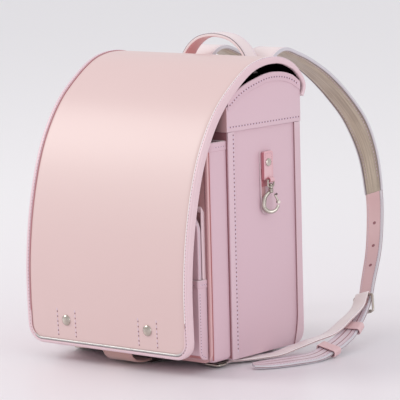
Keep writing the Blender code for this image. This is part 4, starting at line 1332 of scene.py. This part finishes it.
strapShape = {
    "width": 42.0,
    "cover": 2.0,
    "lining": 5.0,
    "gap": 0.7,
    "lowerStart": 24.0,
    "lowerWidth": 20.5,
    "lowerThickness": 3.4,
    # middle line of the right strap from its root to its tail: x, y, z, turn, tilt
    "route": (
        (47, 37.2, 318.4, 0, 0), (47, 40.2, 341, 0, 0), (47, 52.2, 351, 0, 0), (47, 69.2, 353, 0, 0),
        (47, 88.2, 347, 0, 0), (49, 114.2, 336, 0, 0), (53, 147.2, 316, 0, 0), (61, 176.2, 288, 0, 0),
        (74, 196.2, 254, 0, 0), (91, 198.2, 214, 0, 0), (109, 185.2, 168, 0, 0), (122, 168.2, 134, 2, 0),
        (137, 143.2, 103, 5, 0), (151, 113.2, 74, 10, -2), (164, 84.2, 47.5, 15, -1), (171, 50.2, 25, 22, 14),
        (177, 20.2, 15.5, 22, 19), (180, -8.8, 9.6, 18, 17), (180, -36.8, 5.2, 14, 15),
        (172, -67.8, 4.9, 15, 13), (161, -92.8, 4.6, 20, 12), (149, -112.8, 4.4, 26, 10),
    ),
    # the pad's width and thickness from root to end
    "taper": (
        (0.86, 0.60), (0.95, 0.80), (1.00, 1.00), (1.00, 1.00), (1.00, 1.00), (0.99, 1.00),
        (0.97, 1.00), (0.92, 0.95), (0.82, 0.80), (0.68, 0.55), (0.59, 0.30),
    ),
    "steps": 10,
    "holes": 3,
    "holePitch": 32.0,
    # radius and height past the strap's face
    "hole": ((0.0, 0.06), (1.7, 0.06), (2.0, 0.12), (2.25, 0.02)),
    "buckleRow": 14,
    "keeperRows": (15, 17),
}


def strapPlaces():
    # (middle, along, across, inwards) down the strap
    rows = smoothed(strapShape["route"], strapShape["steps"])
    found = []
    for i, row in enumerate(rows):
        ahead, behind = rows[min(i + 1, len(rows) - 1)], rows[max(i - 1, 0)]
        along = (Vector(ahead[:3]) - Vector(behind[:3])).normalized()
        turn, tilt = math.radians(row[3]), math.radians(row[4])
        level = math.cos(tilt)
        across = Vector((math.cos(turn) * level, -math.sin(turn) * level, -math.sin(tilt)))
        across = (across - across.dot(along) * along).normalized()
        found.append((Vector(row[:3]), along, across, along.cross(across)))
    return found


def bothSides(piece, finish, slot, node=None, angle=50):
    # the right piece and its mirror image
    name = piece.name.replace("_right", "_left")
    twin = otherSide(piece, name)
    done(twin, finish, slot, [f"{node}_left"] if node else (), angle=angle)
    done(piece, finish, slot, [f"{node}_right"] if node else (), angle=angle)


def makeStraps():
    shape = strapShape
    places = strapPlaces()
    padEnd = (len(shape["taper"]) - 1) * shape["steps"]
    taper = smoothed(shape["taper"], shape["steps"])
    padded = [(m, a, i) for m, _, a, i in places[: padEnd + 1]]
    widths = [shape["width"] * w for w, _ in taper]
    linings = [shape["lining"] * t for _, t in taper]
    under = shape["cover"] + shape["gap"]
    halves = [(under + t) / 2 for t in linings]

    def coverOutline(i):
        return band(widths[i], -halves[i], shape["cover"] + 0.3 - halves[i], 1.0, 3)

    cover = sweep("strapCover_right", padded, coverOutline)
    coat(cover, "cream", "pearl")
    for index, face in enumerate(cover.data.polygons):
        # cream on its outer face alone
        if index % len(coverOutline(0)) not in (7, 8, 9, 15):
            face.material_index = 1
    bothSides(cover, "cream", "pink_leather", "strap_cover")

    # padded lining: flat sewn flanges with a crown between them
    def lining(i):
        half = widths[i] / 2 - 1.6
        low = under - 0.1 - halves[i]
        deep = halves[i] - low
        outline = []
        for k in range(33):
            c = -1 + k / 16
            edge = (1 - abs(c)) * half
            crown = min(1.0, max(0.0, edge - 3.4) / 6.0) ** 0.6
            ripple = 0.20 * math.sin(i * 0.55) * crown * (1 - abs(c)) + 0.14 * math.sin(i * 0.23 + c * 3)
            channel = 0.5 * math.exp(-(((edge - 3.2) / 0.9) ** 2))
            rise = 0.34 * deep + 0.66 * deep * crown - channel + ripple * 0.6
            rise *= min(1.0, 0.35 + edge / 0.9) if edge < 0.6 else 1.0
            outline.append((c * half, low + rise))
        return outline + [(half, low), (half * 0.5, low), (0, low), (-half * 0.5, low), (-half, low)]

    pad = sweep("strapPad_right", padded, lining)
    bothSides(pad, "satin", "beige_lining", "strap_pad")

    def alongEdge(edge, inset, level):
        # a line this far in from one edge of the pad, and this high above its middle
        return [m + a * (edge * (widths[k] / 2 - inset)) + i * level(k) for k, (m, a, i) in enumerate(padded)]

    # piping between cover and lining, with its dark painted seam
    frames = [(a, i) for _, a, i in padded]
    level = shape["cover"] + 0.9
    for edge, side in ((1, "outer"), (-1, "inner")):
        path = alongEdge(edge, 0.5, lambda k: level - halves[k])
        bothSides(railing(f"strapPiping{side}_right", path, frames, 1.45), "pearl", "trim_leather")
        path = alongEdge(edge, 1.7, lambda k: level + 0.9 - halves[k])
        bothSides(railing(f"strapSeam{side}_right", path, frames, 0.7), "greyEdge", "trim_leather")

    marks = []
    for edge in (-1, 1):
        path = alongEdge(edge, 4.8, lambda k: under - halves[k] + 0.34 * linings[k])
        marks += followed(path[6:-4], [i for _, i in frames][6:-4], 4.4)
        path = alongEdge(edge, 3.4, lambda k: -halves[k])
        marks += followed(path[4:-4], [-i for _, i in frames][4:-4], 4.4)
    mirrorStitches("strapStitches", marks, 3.1, 0.85, 0.8)
    makeLowerStrap(places, padEnd)


def railing(name, path, frames, radius):
    # a round cord that follows a strap's own directions
    turns = [2 * math.pi * k / 8 for k in range(8)]
    rows = []
    for point, (across, inwards) in zip(path, frames):
        ring = [point + across * (radius * math.cos(t)) + inwards * (radius * math.sin(t)) for t in turns]
        rows.append([*ring, ring[0]])
    return gridPiece(name, rows, tube=True, capped=True)


def makeLowerStrap(places, padEnd):
    shape = strapShape
    lower = places[padEnd:]
    middle, along, across, inwards = lower[0]
    lower[0] = (middle + along * 0.3, along, across, inwards)
    flat = [(m, a, i) for m, _, a, i in lower]
    count = len(flat)
    narrowing = shape["buckleRow"] * shape["steps"] - padEnd
    excess = shape["lowerStart"] - shape["lowerWidth"]
    widths = [shape["lowerWidth"] + excess * max(0.0, 1 - k / narrowing) for k in range(count)]
    for k in range(12):
        widths[count - 12 + k] *= 1 - 0.45 * ((k + 1) / 12) ** 2.2
    half = shape["lowerThickness"] / 2

    # two layers with a painted line between them; past the buckle the light side with its grooves shows
    def layers(i):
        w = widths[i] / 2
        return [
            (w - 0.5, -half), (w - 0.1, -half + 0.4), (w, -0.35), (w - 0.35, 0.0), (w, 0.35),
            (w - 0.1, half - 0.4), (w - 0.5, half), (w - 2.9, half), (w - 3.4, half - 0.1),
            (w * 0.30, half), (w * 0.20, half), (-w * 0.35, half), (-w * 0.45, half), (0.5 - w, half),
            (0.1 - w, half - 0.4), (-w, 0.35), (0.35 - w, 0.0), (-w, -0.35), (0.1 - w, -half + 0.4),
            (0.5 - w, -half), (-w * 0.5, -half), (0, -half), (w * 0.5, -half),
        ]

    strap = sweep("lowerStrap_right", flat, layers)
    coat(strap, "strap", "pearl", "edge", "lavender")
    for index, face in enumerate(strap.data.polygons):
        row, spot = divmod(index, len(layers(0)))
        if spot in (2, 3, 7, 15, 16) or (row > narrowing and spot in (9, 11)):
            face.material_index = 2
        elif spot in (0, 1, 4, 5, 6) or spot > 16:
            face.material_index = 1
        elif row > narrowing:
            face.material_index = 3
    bothSides(strap, "strap", "trim_leather", "strap_lower")

    # punched holes, shown as dark discs on both faces: painted shade in place of the open holes
    profile = [(radius, -half - past) for radius, past in shape["hole"]]
    profile += [(radius, half + past) for radius, past in reversed(shape["hole"])]
    travelled, number = 0.0, 0
    start, end = shape["steps"], (shape["buckleRow"] - 10) * shape["steps"]
    for here, ahead in zip(lower[start:end], lower[start + 1 : end + 1]):
        if travelled >= number * shape["holePitch"] and number < shape["holes"]:
            eye = turned(f"strapHole_right_{number}", profile, here[0].lerp(ahead[0], 0.43), here[3], 20)
            bothSides(eye, "edge", "trim_leather", angle=35)
            number += 1
        travelled += (ahead[0] - here[0]).length

    marks = []
    for edge in (-1, 1):
        for face in (-1, 1):
            path = []
            for k, (m, a, i) in enumerate(flat):
                path.append(m + a * (edge * (widths[k] / 2 - 2.6)) + i * face * half)
            marks += followed(path[3:-8], [i * face for _, _, i in flat][3:-8], 4.2)
    mirrorStitches("lowerStrapStitches", marks, 2.9, 0.75, 0.6)
    makeKeepers(places)
    makeBuckle(places)


keeperShape = {
    "play": 1.3,
    "wall": 1.6,
    "length": 14.0,
    "corner": 1.6,
}


def loopRows(place, halfAcross, halfDeep):
    # a leather loop round the strap
    middle, along, across, inwards = place
    wall, corner, end = keeperShape["wall"], keeperShape["corner"], keeperShape["length"] / 2
    # way along the strap, way out from the loop's inside
    section = [
        (-end, 0.35), (0.35 - end, 0.0), (0, -0.05), (end - 0.35, 0.0), (end, 0.35), (end, wall - 0.5),
        (end - 0.5, wall), (end * 0.5, wall + 0.15), (0, wall + 0.2), (-end * 0.5, wall + 0.15),
        (0.5 - end, wall), (-end, wall - 0.5),
    ]
    inner = roundedBox(halfAcross, halfDeep, corner, 5)
    rows = []
    for u, v in [*inner, inner[0]]:
        core = Vector((held(u, halfAcross - corner), held(v, halfDeep - corner)))
        out = (Vector((u, v)) - core).normalized()
        row = []
        for w, t in [*section, section[0]]:
            row.append(middle + across * (u + out.x * t) + inwards * (v + out.y * t) + along * w)
        rows.append(row)
    return rows


def makeKeepers(places):
    half = strapShape["lowerWidth"] / 2 + keeperShape["play"]
    deep = strapShape["lowerThickness"] / 2 + keeperShape["play"]
    for row, name in zip(strapShape["keeperRows"], ("keeper_upper", "keeper_lower")):
        place = places[row * strapShape["steps"]]
        keeper = gridPiece(f"{name}Loop_right", loopRows(place, half, deep), tube=True)
        coat(keeper, "strap")
        paintFaces(keeper, "edge", lambda c, n: abs(n.dot(place[1])) > 0.92)
        bothSides(keeper, "strap", "trim_leather", name, angle=40)


buckleShape = {
    "wire": 1.5,
    "length": 24.0,
    "tilt": 30.0,
    "play": 1.6,
    "corner": 2.5,
    "roller": ((0, 0), (2.0, 0), (2.15, 0.3), (2.15, 19.7), (2.0, 20.0), (0, 20.0)),
    # the prong's way along the buckle and its height above the bar
    "prong": ((0, 1.9), (4, 2.2), (11, 1.2), (17, -0.6), (23.5, 0.6), (25.5, 2.0)),
}


def makeBuckle(places):
    shape = buckleShape
    middle, along, across, inwards = places[strapShape["buckleRow"] * strapShape["steps"]]
    turn = Matrix.Rotation(math.radians(shape["tilt"]), 3, across)
    along, inwards = turn @ along, turn @ inwards
    half = strapShape["lowerWidth"] / 2 + shape["play"] + shape["wire"]
    long = shape["length"] / 2 - shape["wire"]
    outline = roundedBox(half, long, shape["corner"], 6)
    path = [middle + across * u + along * v for u, v in outline]
    ring = wire("buckleFrame_right", path, shape["wire"], inwards, closed=True, sides=14)
    bothSides(ring, "nickel", "nickel", "buckle")
    bar = middle - along * long
    base = bar + along * 2 * long - across * 10.0
    bothSides(turned("buckleRoller_right", shape["roller"], base, across, 24), "nickel", "nickel")
    tongue = [bar + along * reach + inwards * lift for reach, lift in shape["prong"]]
    path = evenly(smoothed(tongue, 5), 1.0)
    prong = wire("bucklePin_right", path, lambda t: 1.15 - 0.25 * t, across, sides=12)
    bothSides(prong, "nickel", "nickel")
    makeBelt(bar, along, across, inwards)


beltShape = {
    "width": 19.0,
    "thickness": 2.4,
    "clear": 0.6,
    "steps": 10,
    "seamInset": 2.4,
    # middle line from the anchor under the bottom almost to the buckle's bar, which it wraps
    "route": (
        (102, -114.8, 4.2), (103, -102.8, 4.3), (112, -89.8, 4.5), (123, -72.8, 4.8), (135, -51.8, 6.3),
        (143, -30.8, 11.0), (151, -7.8, 16.0), (159, 22.2, 21.5), (164, 46.2, 34.0), (162, 73.2, 44.5),
    ),
    "wrap": (0, 15, 30, 45, 60, 75, 90),
}


def makeBelt(bar, along, barAcross, inwards):
    shape = beltShape
    half = shape["thickness"] / 2
    reach = buckleShape["wire"] + shape["clear"] + half
    turns = [math.radians(turn) for turn in shape["wrap"]]
    wrap = [bar + (math.cos(turn) * inwards - math.sin(turn) * along) * reach for turn in turns]
    rows = [*smoothed([*shape["route"], wrap[0]], shape["steps"]), *wrap[1:]]
    wrapped = len(shape["route"]) * shape["steps"]
    flat = []
    for i, point in enumerate(rows):
        way = (rows[min(i + 1, len(rows) - 1)] - rows[max(i - 1, 0)]).normalized()
        side = Vector((1, 0, 0)).lerp(barAcross, min(1.0, i / wrapped) ** 2)
        side = (side - side.dot(way) * way).normalized()
        flat.append((point, side, way.cross(side)))
    outline = band(shape["width"], -half, half, 0.9, 2)
    belt = sweep("lowerBelt_right", flat, lambda i: outline)
    coat(belt, "ivory", "edge")
    for index, face in enumerate(belt.data.polygons):
        if index % len(outline) in (2, 8):
            face.material_index = 1
    bothSides(belt, "ivory", "trim_leather", "lower_belt")
    marks = []
    for edge in (-1, 1):
        out = edge * (shape["width"] / 2 - shape["seamInset"])
        for face in (-1, 1):
            path = [m + a * out + i * face * half for m, a, i in flat]
            marks += followed(path[4:-14], [i * face for _, _, i in flat][4:-14], 4.2)
    mirrorStitches("beltStitches", marks, 2.9, 0.75, 0.6)


# ---- underside

undersideShape = {
    "plate": (5.9, 7.7),
    "casing": (0.0, 6.2),
    "casingShare": 0.60,
    "anchorOut": 102.0,
    "anchorY": -124.7,
    "ringHalf": (10.2, 7.0),
    "ringCorner": 2.2,
    "ringHeight": 3.6,
    "ringWire": 1.7,
}
latchShape = {
    "width": 44.0,
    "thickness": 2.4,
    "underFlap": (78, 62),
    # y, z
    "route": ((-189.8, 42), (-184.8, 26), (-179.8, 13), (-170.8, 6), (-158.8, 4), (-145.1, 4)),
    "seamOut": 19.4,
}


def squeezed(node, name, width, low, high):
    # the node's block, this share of its width, and between these heights
    piece = copyOf(node, name, 0.6, 3)
    corners = [Vector(corner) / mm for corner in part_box(node)]
    middle = (corners[0].x + corners[1].x) / 2
    for vertex in piece.data.vertices:
        share = (vertex.co.z / mm - corners[0].z) / (corners[1].z - corners[0].z)
        vertex.co.x = (middle + (vertex.co.x / mm - middle) * width) * mm
        vertex.co.z = (low + (high - low) * share) * mm
    return piece


def makeUnderside():
    shape = undersideShape
    # painted shade: the studs, lock and anchors under the bag in darkened nickel
    for name in ("right", "left"):
        stud = f"bottom_stud_{name}"
        done(copyOf(stud, f"bottomStud_{name}", 0.7, 3), "gunmetal", "nickel", [stud])
    # lock: a plate with its casing below; anchors: a plate with its ring
    casing = squeezed("bottom_lock", "lockCasing", shape["casingShare"], *shape["casing"])
    plate = squeezed("bottom_lock", "bottomLock", 1.0, *shape["plate"])
    done(casing, "gunmetal", "nickel")
    done(plate, "gunmetal", "nickel", ["bottom_lock"])
    outline = roundedBox(*shape["ringHalf"], shape["ringCorner"], 4)
    for side, name in ((1, "right"), (-1, "left")):
        anchor = f"strap_anchor_{name}"
        plate = squeezed(anchor, f"strapAnchor_{name}", 1.0, *shape["plate"])
        done(plate, "gunmetal", "nickel", [anchor])
        x, y = side * shape["anchorOut"], shape["anchorY"]
        path = [(x + u, y + v, shape["ringHeight"]) for u, v in outline]
        ring = wire(f"anchorRing_{name}", path, shape["ringWire"], (0, 0, 1), closed=True, sides=12)
        done(ring, "nickel", "nickel")
    makeLatch()


def makeLatch():
    # the tongue that runs from under the flap round the bottom's front edge to the lock
    shape = latchShape
    line = FlapLine()
    half = shape["thickness"] / 2
    route = [(line.at(line.downTo(z))[0].y + 3.9 + half, z) for z in shape["underFlap"]]
    rows = smoothed([*route, *shape["route"]], 8)
    across = Vector((1, 0, 0))
    flat = []
    for i, point in enumerate(rows):
        along = Vector((0, *(rows[min(i + 1, len(rows) - 1)] - rows[max(i - 1, 0)]))).normalized()
        flat.append((Vector((0, *point)), across, along.cross(across)))
    belt = sweep("latchBelt", flat, lambda i: band(shape["width"], -half, half, 0.9, 2))
    # painted shade: the latch is brown suede so that it reads as the shade under the flap
    done(belt, "latch", "trim_leather", ["latch_belt"], angle=50)
    marks = []
    for edge in (-shape["seamOut"], shape["seamOut"]):
        for face in (-1, 1):
            path = [m + a * edge + i * face * half for m, a, i in flat]
            marks += followed(path[2:-2], [i * face for _, _, i in flat][2:-2], 4.2)
    stitches("latchStitches", marks, 2.9, 0.75, 0.6, "darkThread")


# ---- hook on the right side

hookShape = {
    "y": -49.1,
    "axisX": 130.0,
    "turn": 60.0,
    "fold": 213.0,
    "rivetHeight": 233.5,
    "rivetFace": 127.7,
    "collarBottom": 203.0,
    "collarHeight": 3.6,
    "ringHalf": 5.5,
    "ringWire": 1.1,
    "shoulder": 197.5,
    "centre": 184.0,
    "radius": 9.1,
    "wire": 2.0,
    "flat": 0.66,
    "opening": 12.0,
    "gatePivot": 186.0,
    "gateTip": (4.4, -2.6),
    "earOut": 1.5,
    # turned pieces: radius, height
    "rivetHead": (
        (0.0, -0.2), (4.6, -0.2), (4.8, 0.1), (4.75, 0.5), (4.3, 0.95), (3.3, 1.4), (1.8, 1.7), (0.0, 1.8),
    ),
    "collar": (
        (1.7, 0.0), (2.6, 0.0), (2.9, 0.3), (2.9, 1.3), (2.7, 1.8), (2.9, 2.3), (2.9, 3.3), (2.6, 3.6),
        (1.7, 3.6), (1.7, 0.0),
    ),
    "stem": (
        (0.0, 0.0), (2.2, 0.0), (2.9, 0.7), (3.0, 1.8), (2.7, 2.8), (3.0, 3.6), (2.9, 4.9), (2.5, 5.2),
        (1.4, 5.2), (1.4, 9.4), (2.2, 9.4), (2.4, 9.7), (2.3, 10.5), (1.4, 11.1), (0.0, 11.2),
    ),
    "ear": ((0.0, 0.0), (1.8, 0.0), (2.0, 0.2), (2.0, 0.7), (1.8, 0.9), (0.0, 0.9)),
    "barrel": ((0.0, 0.0), (1.5, 0.0), (1.7, 0.2), (1.7, 2.2), (1.5, 2.4), (0.0, 2.4)),
    "knob": ((0.0, 0.0), (0.9, 0.1), (1.2, 0.8), (0.9, 1.6), (1.3, 2.6), (1.2, 3.4), (0.0, 3.8)),
}
guardShape = {
    "front": -58.6,
    "back": -35.6,
    "top": 246.5,
    "low": 171.6,
    "corner": 11.0,
    "face": 122.1,
    "lean": 0.9,
    "thickness": 0.9,
}


def makeGuard():
    # a tongue of side leather behind the hook, standing off a little towards its rounded end
    shape = guardShape
    front, back, low, corner = (shape[key] for key in ("front", "back", "low", "corner"))
    tall = shape["top"] - low
    rows = []
    for k in range(61):
        z = low + tall * (k / 60) ** 1.3
        short = max(0.0, corner - (z - low))
        cut = corner - math.sqrt(max(0.0, corner**2 - short**2))
        x = shape["face"] - shape["lean"] * (z - low) / tall
        columns = [front + cut + (back - front - 2 * cut) * c / 16 for c in range(17)]
        outer = []
        for c, column in enumerate(columns):
            soft = 0.35 if c in (0, 16) else 0.0
            outer.append(Vector((x + shape["thickness"] - soft, column, z)))
        inner = [Vector((x, column, z)) for column in reversed(columns)]
        rows.append([*outer, *inner, outer[0]])
    guard = gridPiece("hookGuard", rows, tube=True, capped=True)
    coat(guard, "side")
    # its front edge in cream as a painted highlight, and painted shade in two reds behind the ring and the
    # hook
    paintFaces(guard, "cream", lambda c, n: n.y < -0.2 and n.x < 0.95)
    paintFaces(guard, "redShade", lambda c, n: n.x > 0.9 and -56.8 < c.y < -50.5 and 192 < c.z <= 205)
    paintFaces(guard, "redEdge", lambda c, n: n.x > 0.9 and -56.8 < c.y < -44.5 and 205 < c.z < 226)
    done(guard, "side", "trim_leather", ["hook_guard"])


def makeHook():
    shape = hookShape
    x, y = shape["axisX"], shape["y"]
    makeGuard()
    tab = copyOf("hook_tab", "hookTab", 0.7, 3)
    coat(tab, "tab")
    paintFaces(tab, "redEdge", lambda c, n: n.y < -0.7 or n.z < -0.7)
    done(tab, "tab", "trim_leather", ["hook_tab"])
    corners = ((-6.0, 229), (-6.0, 244.0), (6.0, 244.0), (6.0, 229))
    marks = seam([Vector((127.4, y + out, z)) for out, z in corners], 3.0, (1, 0, 0))
    stitches("hookTabStitches", marks, 2.0, 0.6, 0.5, "darkThread")
    base = (shape["rivetFace"], y - 0.6, shape["rivetHeight"])
    rivet = turned("hookRivet", shape["rivetHead"], base, (1, 0, 0), 32)
    done(rivet, "nickel", "nickel", ["hook_rivet"])

    low = shape["collarBottom"] + shape["collarHeight"] / 2
    half, fold, r1, r2 = shape["ringHalf"], shape["fold"], 2.5, 1.5
    outline = arc((-half + r1, low + r1), r1, 180, 270, 6) + arc((half - r1, low + r1), r1, 270, 360, 6)
    outline += arc((half - r2, fold - r2), r2, 0, 90, 6) + arc((r2 - half, fold - r2), r2, 90, 180, 6)
    path = [(x, y + across, z) for across, z in outline]
    ring = wire("hookRing", path, shape["ringWire"], (1, 0, 0), closed=True, sides=14)
    done(ring, "nickel", "nickel", ["hook_ring"])
    collar = turned("hookCollar", shape["collar"], (x, y, shape["collarBottom"]), (0, 0, 1), 32)
    done(collar, "nickel", "nickel")
    makeSnapHook()


def makeSnapHook():
    # the hook lies in an upright plane through its stem, turned from the bag's side
    shape = hookShape
    turn = math.radians(shape["turn"])
    out = Vector((math.cos(turn), math.sin(turn), 0))
    through = Vector((-math.sin(turn), math.cos(turn), 0))
    shoulder, pivotHeight = shape["shoulder"], shape["gatePivot"]

    def at(u, z):
        return Vector((shape["axisX"], shape["y"], z)) + out * u

    def thickness(t):
        swell = 0.6 * math.sin(math.pi * min(1.0, t * 1.15))
        return shape["wire"] + swell - 0.5 * max(0.0, t - 0.8)

    bend = arc((0, shape["centre"]), shape["radius"], 160, 340 + shape["opening"], 24)
    neck = [(0, shoulder + 2), (-4.2, shoulder - 1.0), (-7.6, shoulder - 5.5)]
    path = evenly(smoothed(neck + bend[1:], 3), 0.9)
    path = [at(point.x, point.y) for point in path]
    hook = wire("snapHook", path, thickness, through, sides=16, flat=shape["flat"])
    done(hook, "nickel", "nickel", ["snap_hook"], body="snap_hook")
    stem = turned("hookStem", shape["stem"], at(0, shoulder), (0, 0, 1), 32)
    done(stem, "nickel", "nickel", body="snap_hook")
    pivot = shape["radius"] * math.cos(math.radians(shape["opening"] - 20))
    for side, name in ((1, "back"), (-1, "front")):
        base = at(pivot, pivotHeight) + through * side * shape["earOut"]
        ear = turned(f"hookEar_{name}", shape["ear"], base, through * side, 24)
        done(ear, "nickel", "nickel", body="snap_hook")

    # the gate, from its barrel to its knob
    tipOut, tipDrop = shape["gateTip"]
    start, end = at(pivot, pivotHeight), at(tipOut, shoulder + tipDrop)
    lever = [start.lerp(end, k / 8) + out * (0.5 * math.sin(math.pi * k / 8)) for k in range(9)]
    gate = wire("hookGate", lever, lambda t: 1.5 - 0.4 * t, through, sides=14)
    done(gate, "nickel", "nickel", ["hook_gate"], body="hook_gate")
    barrel = turned("gateBarrel", shape["barrel"], start - through * 1.2, through, 24)
    # painted shade: the gate's barrel and knob in darkened nickel
    done(barrel, "gunmetal", "nickel", body="hook_gate")
    knob = turned("gateKnob", shape["knob"], end + out * 0.2, out + Vector((0, 0, 0.25)), 20)
    done(knob, "gunmetal", "nickel", body="hook_gate")


# ---- the scene, piece by piece


def makeStudio():
    setCamera()
    world = bpy.data.worlds.new("paleStudio")
    world.use_nodes = True
    light = world.node_tree.nodes["Background"]
    light.inputs["Color"].default_value = studio["worldColour"]
    light.inputs["Strength"].default_value = studio["worldStrength"]
    bpy.context.scene.world = world
    for lamp in studio["lights"]:
        softLight(*lamp)
    bpy.context.scene.view_settings.view_transform = "Standard"

    deselect()
    bpy.ops.mesh.primitive_plane_add(size=60, location=(0, 0, 0))
    floor = bpy.context.object
    floor.name = "studioFloor"
    finish = Finish("floorPaper", Roughness=0.38, Specular_IOR_Level=0.35)
    away = finish.part("Y") * 0.77 - finish.part("X") * 0.64
    speckle = finish.noise(finish.spot(), 3.0, 2.0) * 0.02
    # painted shade: the floor paper is darker towards the camera and around the bag, lighter far behind it
    distance = finish.fade(away + speckle, -0.35, 1.6)
    finish.feed("Base Color", finish.mix(studio["floorNear"], studio["floorFar"], distance))
    floor.data.materials.append(finish.material)


makeStudio()
print("studio ready")

mixFinishes()
print("finishes ready:", len(paint))
makeFlap()
print("flap done")
makeBody()
makeSides()
makeFront()
makeBack()
print("body, sides, compartments and back done")
makeHandle()
makeStraps()
print("handle and straps done")
makeUnderside()
makeHook()
print("underside and hook done")

bpy.context.view_layer.update()
